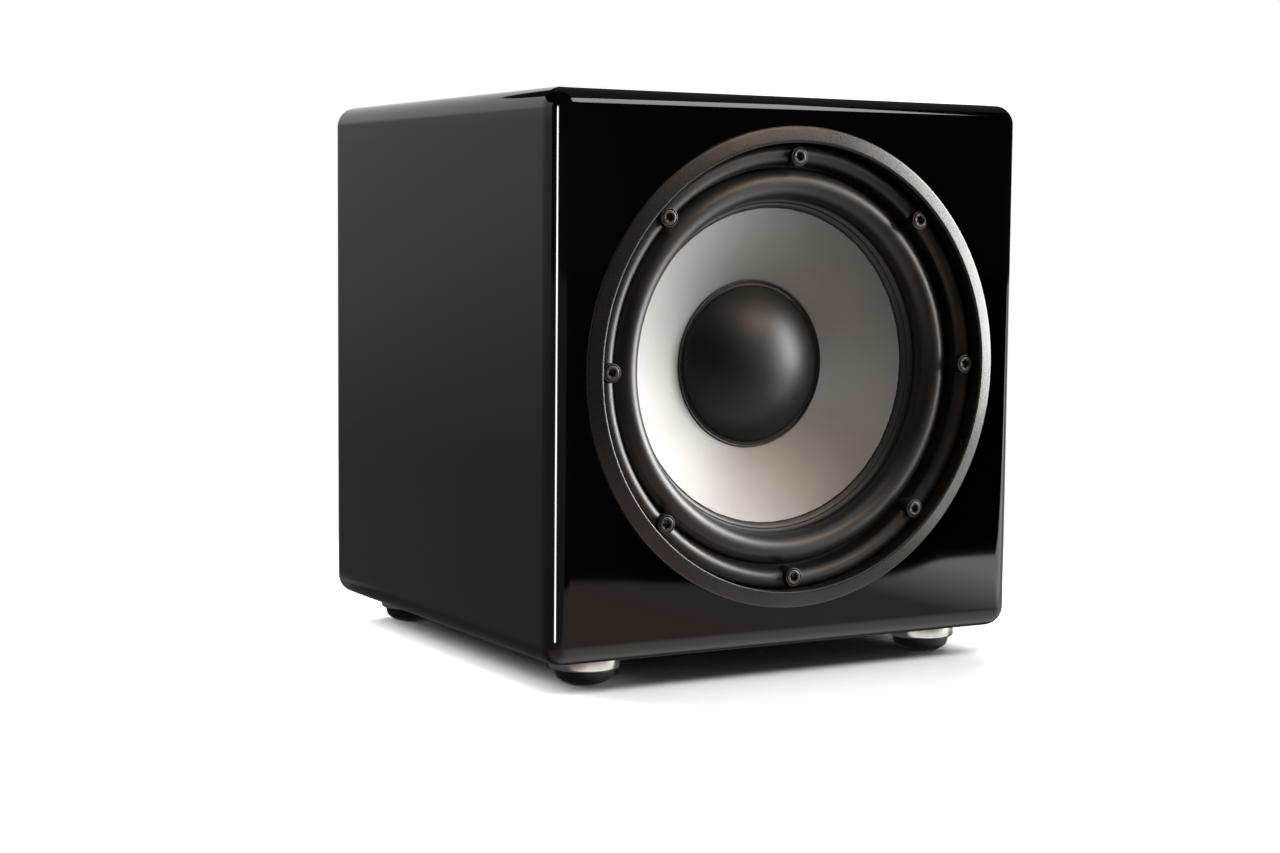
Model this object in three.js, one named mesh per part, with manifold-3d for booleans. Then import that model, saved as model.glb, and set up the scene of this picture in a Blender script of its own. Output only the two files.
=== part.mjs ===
// An active subwoofer: a lacquered cube on four feet, with one large driver in front and an amplifier
// behind. Millimetres, +Z up, the driver faces -Y. The origin is on the floor, under the whole's middle.
import * as THREE from "three";
import { RoundedBoxGeometry } from "three/addons/geometries/RoundedBoxGeometry.js";
import { mergeVertices } from "three/addons/utils/BufferGeometryUtils.js";
import Module from "manifold-3d";

const wasm = await Module();
wasm.setup();

// ---- Driving dimensions ----
const GAP = 0.3; // clearance between two pieces that touch

const CABINET_WIDTH = 365;
const CABINET_HEIGHT = 365;
const CABINET_DEPTH = 360;
const EDGE_RADIUS = 14;
const WALL = 22;
const BAFFLE = 25;
const FOOT_HEIGHT = 18;

const DRIVER_LIFT = 3.5; // the driver's axis above the middle of the front
const DRIVER_HOLE = 150.4;
const RING_OUTER = 158.8;
const RING_PROUD = 4.6;
const SCREW_CIRCLE = 139;
const SCREW_COUNT = 8;
const SHANK = 3; // an M6 screw's radius
const SHANK_HOLE = 3.5;

const CONE_EDGE = 106; // where the visible cone meets the surround's glue flange
const CONE_EDGE_DEPTH = 31.8;
const CONE_SLOPE = 0.543; // depth gained for each millimetre towards the axis
const CAP_RADIUS = 53;
const CAP_HEIGHT = 21;
const CAP_DEPTH = 57.2;
const COIL_RADIUS = 38; // inside of the voice-coil former

const AMP_PLATE = 250;
const AMP_OPENING = 226;
const PLATE_FRONT = 5.1; // the plate's outer face above the cabinet's back
const PLATE_BACK = 2.1;
const REAR_PROUD = 20.4; // fin tips above the cabinet's back

const RING_STEPS = 36; // facets round the driver's large rings
const MOTOR_STEPS = 24; // round the motor, coil and spider
const SMALL_STEPS = 12; // round screws, posts and holes
const KNOB_STEPS = 16; // round knobs and feet

// ---- Places worked out from them ----
const CABINET_Y = (RING_PROUD - REAR_PROUD) / 2;
const FRONT_Y = CABINET_Y - CABINET_DEPTH / 2;
const BACK_Y = CABINET_Y + CABINET_DEPTH / 2;
const CABINET_Z = FOOT_HEIGHT + CABINET_HEIGHT / 2;
const DRIVER_Z = CABINET_Z + DRIVER_LIFT;
const INNER_WIDTH = CABINET_WIDTH - 2 * WALL - 2 * GAP;

// ---- Materials: colour, roughness, metalness ----
const FINISHES = {
  lacquer: [0x060607, 0.06, 0],
  board: [0x8d7558, 0.85, 0],
  wadding: [0xd9d9d4, 1, 0],
  cast_metal: [0x2b2a2a, 0.45, 0.6],
  rubber: [0x141414, 0.5, 0],
  foam: [0x202020, 0.95, 0],
  cone_metal: [0x9a9791, 0.42, 0.7],
  cap_coating: [0x151515, 0.4, 0],
  spider_cloth: [0xb98f4e, 0.9, 0],
  steel: [0x55565a, 0.35, 1],
  ferrite: [0x2d2d2f, 0.7, 0.1],
  polished: [0xc9c9cb, 0.2, 1],
  copper: [0xa4552c, 0.35, 1],
  black_screw: [0x111112, 0.4, 0.8],
  amp_black: [0x131314, 0.5, 0.4],
  black_plastic: [0x0e0e0f, 0.45, 0],
  circuit: [0x14502c, 0.5, 0],
  lens: [0x4f86d8, 0.1, 0],
};

function finish(name) {
  const [color, roughness, metalness] = FINISHES[name];
  return new THREE.MeshStandardMaterial({ color, roughness, metalness, flatShading: true });
}

// ---- Joining and cutting closed meshes ----
function toSolid(geometry) {
  const bare = geometry.clone();
  bare.deleteAttribute("normal");
  bare.deleteAttribute("uv");
  const merged = mergeVertices(bare);
  const mesh = new wasm.Mesh({
    numProp: 3,
    vertProperties: merged.attributes.position.array,
    triVerts: new Uint32Array(merged.index.array),
  });
  return new wasm.Manifold(mesh);
}

function toGeometry(solid) {
  const mesh = solid.getMesh();
  const geometry = new THREE.BufferGeometry();
  geometry.setAttribute("position", new THREE.BufferAttribute(mesh.vertProperties, mesh.numProp));
  geometry.setIndex(new THREE.BufferAttribute(mesh.triVerts, 1));
  return geometry;
}

function cut(base, tools) {
  return toGeometry(tools.reduce((solid, tool) => solid.subtract(toSolid(tool)), toSolid(base)));
}

function join(base, pieces) {
  return toGeometry(pieces.reduce((solid, piece) => solid.add(toSolid(piece)), toSolid(base)));
}

// ---- Basic shapes ----

// A full turn about local Y of an outline of [radius, height] corners, which ends on the axis at both ends
// or closes in a loop.
function turned(corners, steps = RING_STEPS) {
  const outline = corners.map(([radius, height]) => new THREE.Vector2(radius, height));
  if (THREE.ShapeUtils.area(outline) < 0) outline.reverse();
  const onAxis = outline[0].x === 0 && outline.at(-1).x === 0;
  if (!onAxis) outline.push(outline[0].clone());
  return new THREE.LatheGeometry(outline, steps);
}

// A flat ring about local Y.
function ring(inner, outer, low, high, steps = RING_STEPS) {
  return turned([[inner, low], [outer, low], [outer, high], [inner, high]], steps);
}

// A round bar about local Y, from one height to another, moved sideways by x and z.
function bar(radius, low, high, steps = SMALL_STEPS, x = 0, z = 0) {
  const geometry = new THREE.CylinderGeometry(radius, radius, high - low, steps);
  return geometry.translate(x, (low + high) / 2, z);
}

// The same bar about local Z, for pieces on the amplifier's plate.
function post(radius, low, high, steps = SMALL_STEPS, x = 0, y = 0) {
  const geometry = new THREE.CylinderGeometry(radius, radius, high - low, steps);
  return geometry.rotateX(Math.PI / 2).translate(x, y, (low + high) / 2);
}

// A block given by its size and its middle.
function block(width, depth, height, x = 0, y = 0, z = 0) {
  return new THREE.BoxGeometry(width, depth, height).translate(x, y, z);
}

// A rectangle in the XY plane with round corners.
function roundedRectangle(width, height, radius) {
  const x = width / 2 - radius;
  const y = height / 2 - radius;
  const shape = new THREE.Shape();
  shape.absarc(x, y, radius, 0, Math.PI / 2, false);
  shape.absarc(-x, y, radius, Math.PI / 2, Math.PI, false);
  shape.absarc(-x, -y, radius, Math.PI, 1.5 * Math.PI, false);
  shape.absarc(x, -y, radius, 1.5 * Math.PI, 2 * Math.PI, false);
  shape.closePath();
  return shape;
}

// A flat plate of a shape, between two heights along local Z.
function plate(shape, low, high) {
  const options = { depth: high - low, bevelEnabled: false, curveSegments: 4 };
  return new THREE.ExtrudeGeometry(shape, options).translate(0, 0, low);
}

// Points of half an ellipse in [radius, depth], bulging forwards, from its outer foot to its inner foot,
// which lies deeper by the drop.
function rollArc(middle, depth, halfWidth, height, drop, steps) {
  const points = [];
  const first = 0.07; // radians left out at each foot, where the roll runs into its flanges
  for (let i = 0; i <= steps; i += 1) {
    const angle = first + ((Math.PI - 2 * first) * i) / steps;
    const base = depth + (drop * (1 - Math.cos(angle))) / 2;
    points.push([middle + halfWidth * Math.cos(angle), base - height * Math.sin(angle)]);
  }
  return points;
}

// The driver's screw places as [x, z], the first at the top.
function screwPlaces() {
  return Array.from({ length: SCREW_COUNT }, (_, i) => {
    const angle = (i / SCREW_COUNT) * 2 * Math.PI;
    return [SCREW_CIRCLE * Math.sin(angle), SCREW_CIRCLE * Math.cos(angle)];
  });
}

function screwHoles(low, high) {
  return screwPlaces().map(([x, z]) => bar(SHANK_HOLE, low, high, 8, x, z));
}

// ---- Scene graph ----
const subwoofer = new THREE.Group();

function frameAt(x, y, z) {
  const frame = new THREE.Group();
  frame.position.set(x, y, z);
  subwoofer.add(frame);
  return frame;
}

const cabinet = frameAt(0, CABINET_Y, CABINET_Z);
const driver = frameAt(0, FRONT_Y, DRIVER_Z); // local Y is the depth behind the cabinet's front
const amplifier = frameAt(0, BACK_Y, CABINET_Z);
// Seen from behind: local X to the right, local Y up, local Z out of the cabinet's back.
const ampAxes = new THREE.Matrix4().makeBasis(
  new THREE.Vector3(-1, 0, 0),
  new THREE.Vector3(0, 0, 1),
  new THREE.Vector3(0, 1, 0),
);
amplifier.quaternion.setFromRotationMatrix(ampAxes);

function piece(frame, name, geometry, finishName, x = 0, y = 0, z = 0) {
  const mesh = new THREE.Mesh(geometry, finish(finishName));
  mesh.name = name;
  mesh.position.set(x, y, z);
  frame.add(mesh);
  return mesh;
}

// ---- Cabinet: lacquered shell, baffle doubler, brace and wadding ----
const FEET = [
  ["front_left", -1, -1],
  ["front_right", 1, -1],
  ["back_left", -1, 1],
  ["back_right", 1, 1],
];
const FOOT_INSET_X = 47;
const FOOT_INSET_Y = 42;
const FOOT_SCREW_TOP = 34;

function footPlace(sideX, sideY) {
  return [sideX * (CABINET_WIDTH / 2 - FOOT_INSET_X), sideY * (CABINET_DEPTH / 2 - FOOT_INSET_Y)];
}

function shellGeometry() {
  const outer = new RoundedBoxGeometry(CABINET_WIDTH, CABINET_DEPTH, CABINET_HEIGHT, 3, EDGE_RADIUS);
  const roomDepth = CABINET_DEPTH - BAFFLE - WALL;
  const room = block(
    CABINET_WIDTH - 2 * WALL,
    roomDepth,
    CABINET_HEIGHT - 2 * WALL,
    0,
    (BAFFLE - WALL) / 2,
  );
  const front = -CABINET_DEPTH / 2;
  const driverHole = bar(DRIVER_HOLE, front - 5, front + BAFFLE + 5, RING_STEPS, 0, DRIVER_LIFT);
  const ampHole = block(AMP_OPENING, WALL * 2, AMP_OPENING, 0, CABINET_DEPTH / 2 - WALL / 2);
  const bottom = -CABINET_HEIGHT / 2;
  const footHoles = FEET.map(([, sideX, sideY]) => {
    const [x, y] = footPlace(sideX, sideY);
    return post(SHANK_HOLE, bottom - 5, bottom + 18, 8, x, y);
  });
  return cut(outer, [room, driverHole, ampHole, ...footHoles]);
}

function doublerGeometry() {
  const thickness = 19;
  const front = BAFFLE + GAP;
  const board = block(INNER_WIDTH, thickness, INNER_WIDTH, 0, front + thickness / 2, -DRIVER_LIFT);
  const hole = bar(129.2, front - 5, front + thickness + 5, RING_STEPS);
  return cut(board, [hole, ...screwHoles(front - 5, front + thickness + 5)]);
}

function braceGeometry() {
  const thickness = 18;
  const window = 210;
  const frame = plate(roundedRectangle(INNER_WIDTH, INNER_WIDTH, 1), 0, thickness);
  const opening = plate(roundedRectangle(window, window, 30), -5, thickness + 5);
  return cut(frame, [opening]).rotateX(Math.PI / 2);
}

const BRACE_DEPTH = 218; // the brace's back, behind the cabinet's front
piece(cabinet, "cabinet_shell", shellGeometry(), "lacquer");
piece(driver, "baffle_doubler", doublerGeometry(), "board");
piece(cabinet, "window_brace", braceGeometry(), "board", 0, BRACE_DEPTH - CABINET_DEPTH / 2);
for (const [side, sign] of [["left", -1], ["right", 1]]) {
  const thickness = 20;
  const x = (sign * (INNER_WIDTH - thickness)) / 2;
  const y = -52; // between the doubler and the brace
  piece(cabinet, `wadding_${side}`, new THREE.BoxGeometry(thickness, 130, 290), "wadding", x, y);
}

// ---- Feet: polished collar, rubber pad and screw ----
const COLLAR_LOW = 9.5;
const COLLAR_HIGH = FOOT_HEIGHT - GAP;

for (const [place, sideX, sideY] of FEET) {
  const [x, y] = footPlace(sideX, sideY);
  const foot = frameAt(x, CABINET_Y + y, 0);
  foot.rotation.x = Math.PI / 2; // turned shapes stand upright
  const collar = [
    [SHANK_HOLE, COLLAR_LOW], [22.2, COLLAR_LOW], [23, 10.4], [23, COLLAR_HIGH], [SHANK_HOLE, COLLAR_HIGH],
  ];
  const pad = [
    [6.5, 0], [13.5, 0], [18.6, 3.2], [20, 9.2], [SHANK_HOLE, 9.2], [SHANK_HOLE, 5.8], [6.5, 5.8],
  ];
  const screw = [
    [0, 2.2], [5.2, 2.2], [5.2, 5.5], [SHANK, 5.5], [SHANK, FOOT_SCREW_TOP], [0, FOOT_SCREW_TOP],
  ];
  piece(foot, `foot_collar_${place}`, turned(collar, KNOB_STEPS), "polished");
  piece(foot, `foot_pad_${place}`, turned(pad, KNOB_STEPS), "rubber");
  piece(foot, `foot_screw_${place}`, turned(screw, SMALL_STEPS), "steel");
}

// ---- Driver frame: basket, seal, trim ring, clamp gasket and screws ----
const FLANGE_FRONT = 18.9;
const SEAT_BACK = 103.7;

function basketGeometry() {
  const bell = turned([
    [149.8, FLANGE_FRONT],
    [149.8, 23.4],
    [128.5, 23.4],
    [128.5, 44],
    [92, 86],
    [84, 90.5],
    [82, SEAT_BACK],
    [62, SEAT_BACK],
    [62, 99.7],
    [69, 97],
    [69, 88.9],
    [82, 88.9],
    [124.5, 41],
    [124.5, FLANGE_FRONT],
  ]);
  const windows = Array.from({ length: 6 }, (_, i) => {
    const window = block(74, 34, 60, 0, 63, 115);
    return window.rotateY((i / 6) * 2 * Math.PI + Math.PI / 6);
  });
  return cut(bell, [...windows, ...screwHoles(FLANGE_FRONT - 5, 28)]);
}

function sealGeometry() {
  return cut(ring(130, 149.8, 23.7, 25), screwHoles(20, 30));
}

function trimRingGeometry() {
  return turned([
    [RING_OUTER, -GAP],
    [RING_OUTER, -2.1],
    [RING_OUTER - 0.6, -2.7],
    [149.2, -RING_PROUD],
    [148, -4.1],
    [147.8, -3.4],
    [147.8, FLANGE_FRONT - GAP],
    [149.8, FLANGE_FRONT - GAP],
    [149.8, -GAP],
  ]);
}

function clampGasketGeometry() {
  const base = 17.1;
  const collarTop = 0.9;
  const headSeat = 6.8;
  const bead = turned([
    [147.4, base],
    [147.2, 8.5],
    [142.5, 4.5],
    [138.5, 4],
    [134.6, 8.5],
    [133.8, base],
  ]);
  const collars = screwPlaces().map(([x, z]) => bar(6.2, collarTop, 13.8, SMALL_STEPS, x, z));
  const headRooms = screwPlaces().map(([x, z]) => bar(5.4, collarTop - 5, headSeat, SMALL_STEPS, x, z));
  return cut(join(bead, collars), [...headRooms, ...screwHoles(headSeat - 2, base + 5)]);
}

function screwGeometry() {
  const headTop = 0.5;
  const headBack = 6.5;
  const end = 40;
  const head = 5;
  const outline = [
    [0, headTop], [head, headTop], [head, headBack], [SHANK, headBack], [SHANK, end], [0, end],
  ];
  return turned(outline, SMALL_STEPS);
}

piece(driver, "driver_basket", basketGeometry(), "cast_metal");
piece(driver, "mounting_seal", sealGeometry(), "foam");
piece(driver, "trim_ring", trimRingGeometry(), "cast_metal");
piece(driver, "clamp_gasket", clampGasketGeometry(), "rubber");
screwPlaces().forEach(([x, z], i) => {
  piece(driver, `driver_screw_${i + 1}`, screwGeometry(), "black_screw", x, 0, z);
});

// ---- Moving assembly: cone, dust cap, coil former and coil; surround and spider carry it ----
function coneFront(radius) {
  return CONE_EDGE_DEPTH + (CONE_EDGE - radius) * CONE_SLOPE;
}

function surroundGeometry() {
  const frontFlange = FLANGE_FRONT - 1.5;
  const backFlange = FLANGE_FRONT - GAP;
  const rollMiddle = 122.6;
  const rollDepth = 18;
  const rollDrop = 8;
  const skin = 1.3; // from the cone's face to the front of the glued flange
  const frontRoll = rollArc(rollMiddle, rollDepth, 10, 12.5, rollDrop, 6);
  const backRoll = rollArc(rollMiddle, rollDepth, 8.8, 11.3, rollDrop, 6).reverse();
  const flangeFoot = 112.2;
  const flangeBack = 113.4;
  const sheet = turned([
    [147.4, frontFlange],
    ...frontRoll,
    [flangeFoot, coneFront(flangeFoot) - skin],
    [CONE_EDGE, coneFront(CONE_EDGE) - skin],
    [CONE_EDGE, coneFront(CONE_EDGE) - 0.4],
    [flangeBack, coneFront(flangeBack) - 0.4],
    ...backRoll,
    [132.6, backFlange],
    [147.4, backFlange],
  ]);
  return cut(sheet, screwHoles(frontFlange - 5, backFlange + 5));
}

function coneGeometry() {
  const outer = 113;
  const neck = 39;
  const thickness = 1.6;
  return turned([
    [outer, coneFront(outer)],
    [outer, coneFront(outer) + thickness],
    [neck + 1.6, coneFront(neck) + thickness],
    [neck + 1.6, coneFront(neck) + 5],
    [neck, coneFront(neck) + 5],
    [neck, coneFront(neck)],
  ]);
}

function domePoints(radius, rim, top, steps) {
  const height = rim - top;
  const sphere = (radius * radius + height * height) / (2 * height);
  const reach = Math.asin(radius / sphere);
  return Array.from({ length: steps + 1 }, (_, i) => {
    const angle = (reach * i) / steps;
    return [i === 0 ? 0 : sphere * Math.sin(angle), top + sphere * (1 - Math.cos(angle))];
  });
}

function dustCapGeometry() {
  const thickness = 1;
  const rimOuter = 56.8;
  const top = CAP_DEPTH - CAP_HEIGHT;
  const front = domePoints(CAP_RADIUS, CAP_DEPTH, top, 5);
  const back = domePoints(CAP_RADIUS - thickness, CAP_DEPTH + thickness, top + thickness, 5);
  const rim = [[rimOuter, coneFront(rimOuter) - 1.3], [rimOuter, coneFront(rimOuter) - GAP]];
  return turned([...front, ...rim, ...back.reverse()], MOTOR_STEPS);
}

function spiderGeometry() {
  const middle = 88;
  const half = 0.4;
  const wave = 1.8;
  const steps = 4;
  const face = (offset) =>
    Array.from({ length: steps + 1 }, (_, i) => {
      const radius = 43 + ((68 - 43) * i) / steps;
      return [radius, middle + offset + wave * Math.sin((i * Math.PI) / 2)];
    });
  return turned([
    [COIL_RADIUS + 1, middle - half],
    ...face(-half),
    [80, middle - half],
    [80, middle + half],
    ...face(half).reverse(),
    [COIL_RADIUS + 1, middle + half],
  ], MOTOR_STEPS);
}

piece(driver, "surround", surroundGeometry(), "rubber");
piece(driver, "cone", coneGeometry(), "cone_metal");
piece(driver, "dust_cap", dustCapGeometry(), "cap_coating");
piece(driver, "coil_former", ring(COIL_RADIUS, COIL_RADIUS + 0.6, 66, 125, MOTOR_STEPS), "copper");
piece(driver, "voice_coil", ring(COIL_RADIUS + 0.9, COIL_RADIUS + 2.3, 93, 124, MOTOR_STEPS), "copper");
piece(driver, "spider", spiderGeometry(), "spider_cloth");

// ---- Motor: top plate, magnet, yoke with its pole, rubber boot, and the terminal strip ----
const TOP_PLATE = 8;
const MAGNET = 26;
const YOKE = 10;
const PLATE_DEPTH = SEAT_BACK + GAP;
const MAGNET_DEPTH = PLATE_DEPTH + TOP_PLATE + GAP;
const YOKE_DEPTH = MAGNET_DEPTH + MAGNET + GAP;
const MAGNET_RADIUS = 80;

function yokeGeometry() {
  const pole = COIL_RADIUS - 0.6;
  const vent = 12;
  return turned([
    [vent, PLATE_DEPTH],
    [pole, PLATE_DEPTH],
    [pole, YOKE_DEPTH],
    [70, YOKE_DEPTH],
    [70, YOKE_DEPTH + YOKE],
    [vent, YOKE_DEPTH + YOKE],
  ], MOTOR_STEPS);
}

function bootGeometry() {
  const inner = MAGNET_RADIUS + 0.8;
  const lip = YOKE_DEPTH + YOKE + GAP;
  return turned([
    [inner, MAGNET_DEPTH],
    [inner + 2.4, MAGNET_DEPTH],
    [inner + 2.4, lip + 2],
    [66, lip + 2],
    [66, lip],
    [inner, lip],
  ], MOTOR_STEPS);
}

const TERMINAL_DROP = -90;
const TERMINAL_DEPTH = 97;
piece(driver, "top_plate", ring(41, 70, PLATE_DEPTH, PLATE_DEPTH + TOP_PLATE, MOTOR_STEPS), "steel");
const magnetRing = ring(46, MAGNET_RADIUS, MAGNET_DEPTH, MAGNET_DEPTH + MAGNET, MOTOR_STEPS);
piece(driver, "magnet", magnetRing, "ferrite");
piece(driver, "yoke", yokeGeometry(), "steel");
piece(driver, "magnet_boot", bootGeometry(), "rubber");
piece(driver, "driver_terminal", block(26, 11, 10, 0, TERMINAL_DEPTH, TERMINAL_DROP), "black_plastic");

// ---- Amplifier plate with everything that passes through it ----
const KNOBS = [
  ["volume", -75],
  ["crossover", -15],
  ["phase", 45],
];
const KNOB_Y = 5;
const SWITCH = { x: -75, y: -40 };
const INLET = { x: -75, y: -83 };
const JACKS = { x: -15, y: -80, pitch: 11, barrel: 4.2 };
const MODE = { x: -15, y: -36 };
const LAMP = { x: 95, y: KNOB_Y };
const TRANSFORMER = { x: 62, y: -60 };
const SINK_LOW = 32;
const SINK_HIGH = 108;

function jackPlaces() {
  const signs = [[-1, -1], [-1, 1], [1, -1], [1, 1]];
  return signs.map(([sx, sy]) => [JACKS.x + sx * JACKS.pitch, JACKS.y + sy * JACKS.pitch]);
}

function throughHole(width, height, at) {
  return block(width, height, 20, at.x, at.y, 0);
}

function ampPlateGeometry() {
  const sheet = plate(roundedRectangle(AMP_PLATE, AMP_PLATE, 6), PLATE_BACK, PLATE_FRONT);
  const holes = [
    ...KNOBS.map(([, x]) => post(4.1, -10, 10, SMALL_STEPS, x, KNOB_Y)),
    ...jackPlaces().map(([x, y]) => post(JACKS.barrel + 0.6, -10, 10, SMALL_STEPS, x, y)),
    post(3, -10, 10, SMALL_STEPS, LAMP.x, LAMP.y),
    throughHole(20, 28, SWITCH),
    throughHole(28, 33.6, INLET),
    throughHole(10.6, 5.4, MODE),
  ];
  return cut(sheet, holes);
}

function ampSealGeometry() {
  const outer = plate(roundedRectangle(248, 248, 5), GAP, 1.8);
  return cut(outer, [plate(roundedRectangle(230, 230, 2), -5, 10)]);
}

// A comb of cooling fins: the outline lies in X and depth, and is extruded along the fins.
function heatSinkGeometry() {
  const fins = 15;
  const fin = 3;
  const width = 200;
  const base = PLATE_FRONT + GAP;
  const floor = base + 3;
  const pitch = (width - fin) / (fins - 1);
  const comb = new THREE.Shape();
  comb.moveTo(-width / 2, base);
  comb.lineTo(width / 2, base);
  for (let i = fins - 1; i >= 0; i -= 1) {
    const left = -width / 2 + i * pitch;
    if (i < fins - 1) comb.lineTo(left + fin, floor);
    comb.lineTo(left + fin, REAR_PROUD);
    comb.lineTo(left, REAR_PROUD);
    if (i > 0) comb.lineTo(left, floor);
  }
  comb.closePath();
  return plate(comb, 0, SINK_HIGH - SINK_LOW).rotateX(Math.PI / 2);
}

piece(amplifier, "amp_seal", ampSealGeometry(), "foam");
piece(amplifier, "amp_plate", ampPlateGeometry(), "amp_black");
piece(amplifier, "heat_sink", heatSinkGeometry(), "amp_black", 0, SINK_HIGH);

// Rotary controls: a potentiometer behind the plate, its bushing through it and a knob over the bushing.
function potGeometry() {
  const inside = PLATE_BACK - GAP;
  return join(block(17, 17, 9, 0, 0, inside - 4.5), [post(3.4, inside - 2, 8, SMALL_STEPS)]);
}

function knobGeometry() {
  const low = PLATE_FRONT + 0.5;
  const top = 19;
  const bore = 4.6;
  const boreTop = 8.6;
  const outline = [
    [bore, low], [11, low], [11, 8], [9.4, 8.8], [8.9, top - 0.8], [8.1, top], [0, top],
    [0, boreTop], [bore, boreTop],
  ];
  const body = turned(outline, KNOB_STEPS);
  const pointer = block(1.4, 7.4, 0.9, 0, 4.6, top + 0.25);
  return join(body.rotateX(Math.PI / 2), [pointer]);
}

for (const [name, x] of KNOBS) {
  piece(amplifier, `${name}_pot`, potGeometry(), "black_plastic", x, KNOB_Y);
  piece(amplifier, `${name}_knob`, knobGeometry(), "black_plastic", x, KNOB_Y);
}

// Power switch: a bezel with a well, and a rocker that tips about the bezel's short axis.
const ROCKER_TILT = THREE.MathUtils.degToRad(11);
const ROCKER_PIVOT = 3;

function switchFrameGeometry() {
  const bezel = plate(roundedRectangle(23, 31, 2), PLATE_FRONT + GAP, 7);
  const body = block(19.2, 27.2, 23, 0, 0, -5.5);
  const well = block(15, 23, 20, 0, 0, 7);
  return cut(join(bezel, [body]), [well]);
}

function rockerGeometry() {
  const half = 10;
  const outline = new THREE.Shape();
  outline.moveTo(-half, -2.5);
  outline.lineTo(half, -2.5);
  outline.lineTo(half, 5.2);
  outline.lineTo(0, 3.8);
  outline.lineTo(-half, 5.2);
  outline.closePath();
  const width = 14;
  // The outline's own axes become Y and Z, and the extrusion runs along X.
  const turn = new THREE.Matrix4().makeBasis(
    new THREE.Vector3(0, 1, 0),
    new THREE.Vector3(0, 0, 1),
    new THREE.Vector3(1, 0, 0),
  );
  return plate(outline, -width / 2, width / 2).applyMatrix4(turn);
}

piece(amplifier, "power_switch_frame", switchFrameGeometry(), "black_plastic", SWITCH.x, SWITCH.y);
const rocker = piece(amplifier, "power_rocker", rockerGeometry(), "black_plastic", SWITCH.x, SWITCH.y);
rocker.position.z = ROCKER_PIVOT;
rocker.rotation.x = ROCKER_TILT;

// Mode switch: a slide switch behind the plate with its lever in a slot.
const MODE_TRAVEL = 5;

function modeBodyGeometry() {
  const front = PLATE_BACK - GAP;
  const depth = 9;
  return cut(block(22, 11, depth, 0, 0, front - depth / 2), [block(10.6, 5.4, 6, 0, 0, front)]);
}

piece(amplifier, "mode_switch_body", modeBodyGeometry(), "black_plastic", MODE.x, MODE.y);
const lever = block(4.4, 4.4, 10, 0, 0, 4.2);
piece(amplifier, "mode_lever", lever, "black_plastic", MODE.x - MODE_TRAVEL / 2, MODE.y);

// Mains inlet: a flanged socket with three blades, and a fuse drawer above the socket.
const SOCKET_Y = -5.5;
const DRAWER_Y = 10.2;

function socketShape() {
  const half = 12.1;
  const top = 8.2;
  const chamfer = 4;
  const shape = new THREE.Shape();
  shape.moveTo(-half, -top);
  shape.lineTo(half, -top);
  shape.lineTo(half, top - chamfer);
  shape.lineTo(half - chamfer, top);
  shape.lineTo(-half + chamfer, top);
  shape.lineTo(-half, top - chamfer);
  shape.closePath();
  return shape;
}

function inletGeometry() {
  const face = 7.4;
  const flange = plate(roundedRectangle(48, 38, 6), PLATE_FRONT + GAP, face);
  const body = block(27.4, 33, 24, 0, 0, -5.5);
  const socket = plate(socketShape(), -12, 20).translate(0, SOCKET_Y, 0);
  const drawerRoom = block(22, 7, 40, 0, DRAWER_Y, 6);
  const blades = [[-7, -2], [7, -2], [0, 2.2]].map(([x, y]) => block(2, 4, 14, x, SOCKET_Y + y, -6));
  return join(cut(join(flange, [body]), [socket, drawerRoom]), blades);
}

function drawerGeometry() {
  const tray = block(21.2, 6.2, 20, 0, 0, -2.2);
  const lip = block(25, 9, 1.2, 0, 0, 8.3);
  return join(tray, [lip]);
}

piece(amplifier, "power_inlet", inletGeometry(), "black_plastic", INLET.x, INLET.y);
piece(amplifier, "fuse_drawer", drawerGeometry(), "black_plastic", INLET.x, INLET.y + DRAWER_Y);

// Signal jacks: four barrels on one moulding, and the status lamp's lens.
function jackBlockGeometry() {
  const inside = PLATE_BACK - GAP;
  const collar = plate(roundedRectangle(44, 44, 3), PLATE_FRONT + GAP, 7.4);
  collar.translate(JACKS.x, JACKS.y, 0);
  const housing = block(40, 40, 9, JACKS.x, JACKS.y, inside - 4.5);
  const barrels = jackPlaces().map(([x, y]) => post(JACKS.barrel, inside - 4, 16, 10, x, y));
  const bores = jackPlaces().map(([x, y]) => post(1.6, 6, 20, 8, x, y));
  return cut(join(collar, [housing, ...barrels]), bores);
}

piece(amplifier, "signal_jacks", jackBlockGeometry(), "black_plastic");
piece(amplifier, "status_lamp", post(2.4, -2, 7), "lens", LAMP.x, LAMP.y);

// Behind the plate: circuit board on posts, and a toroidal transformer.
const BOARD_FACE = -18.4;
const BOARD_THICKNESS = 1.6;

function circuitBoardGeometry() {
  const middleY = 63;
  const board = block(200, 82, BOARD_THICKNESS, 0, middleY, BOARD_FACE - BOARD_THICKNESS / 2);
  const posts = [-94, 94].flatMap((x) =>
    [-36, 36].map((y) => post(3, BOARD_FACE - 0.5, PLATE_BACK - GAP, 8, x, middleY + y)),
  );
  return join(board, posts);
}

function transformerGeometry() {
  const outer = 38;
  const inner = 12;
  const top = PLATE_BACK - GAP;
  const bottom = -36;
  const soft = 7;
  return turned([
    [inner, bottom + soft],
    [inner + soft, bottom],
    [outer - soft, bottom],
    [outer, bottom + soft],
    [outer, top - soft],
    [outer - soft, top],
    [inner + soft, top],
    [inner, top - soft],
  ], MOTOR_STEPS).rotateX(Math.PI / 2);
}

piece(amplifier, "circuit_board", circuitBoardGeometry(), "circuit");
piece(amplifier, "transformer", transformerGeometry(), "copper", TRANSFORMER.x, TRANSFORMER.y);

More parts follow.
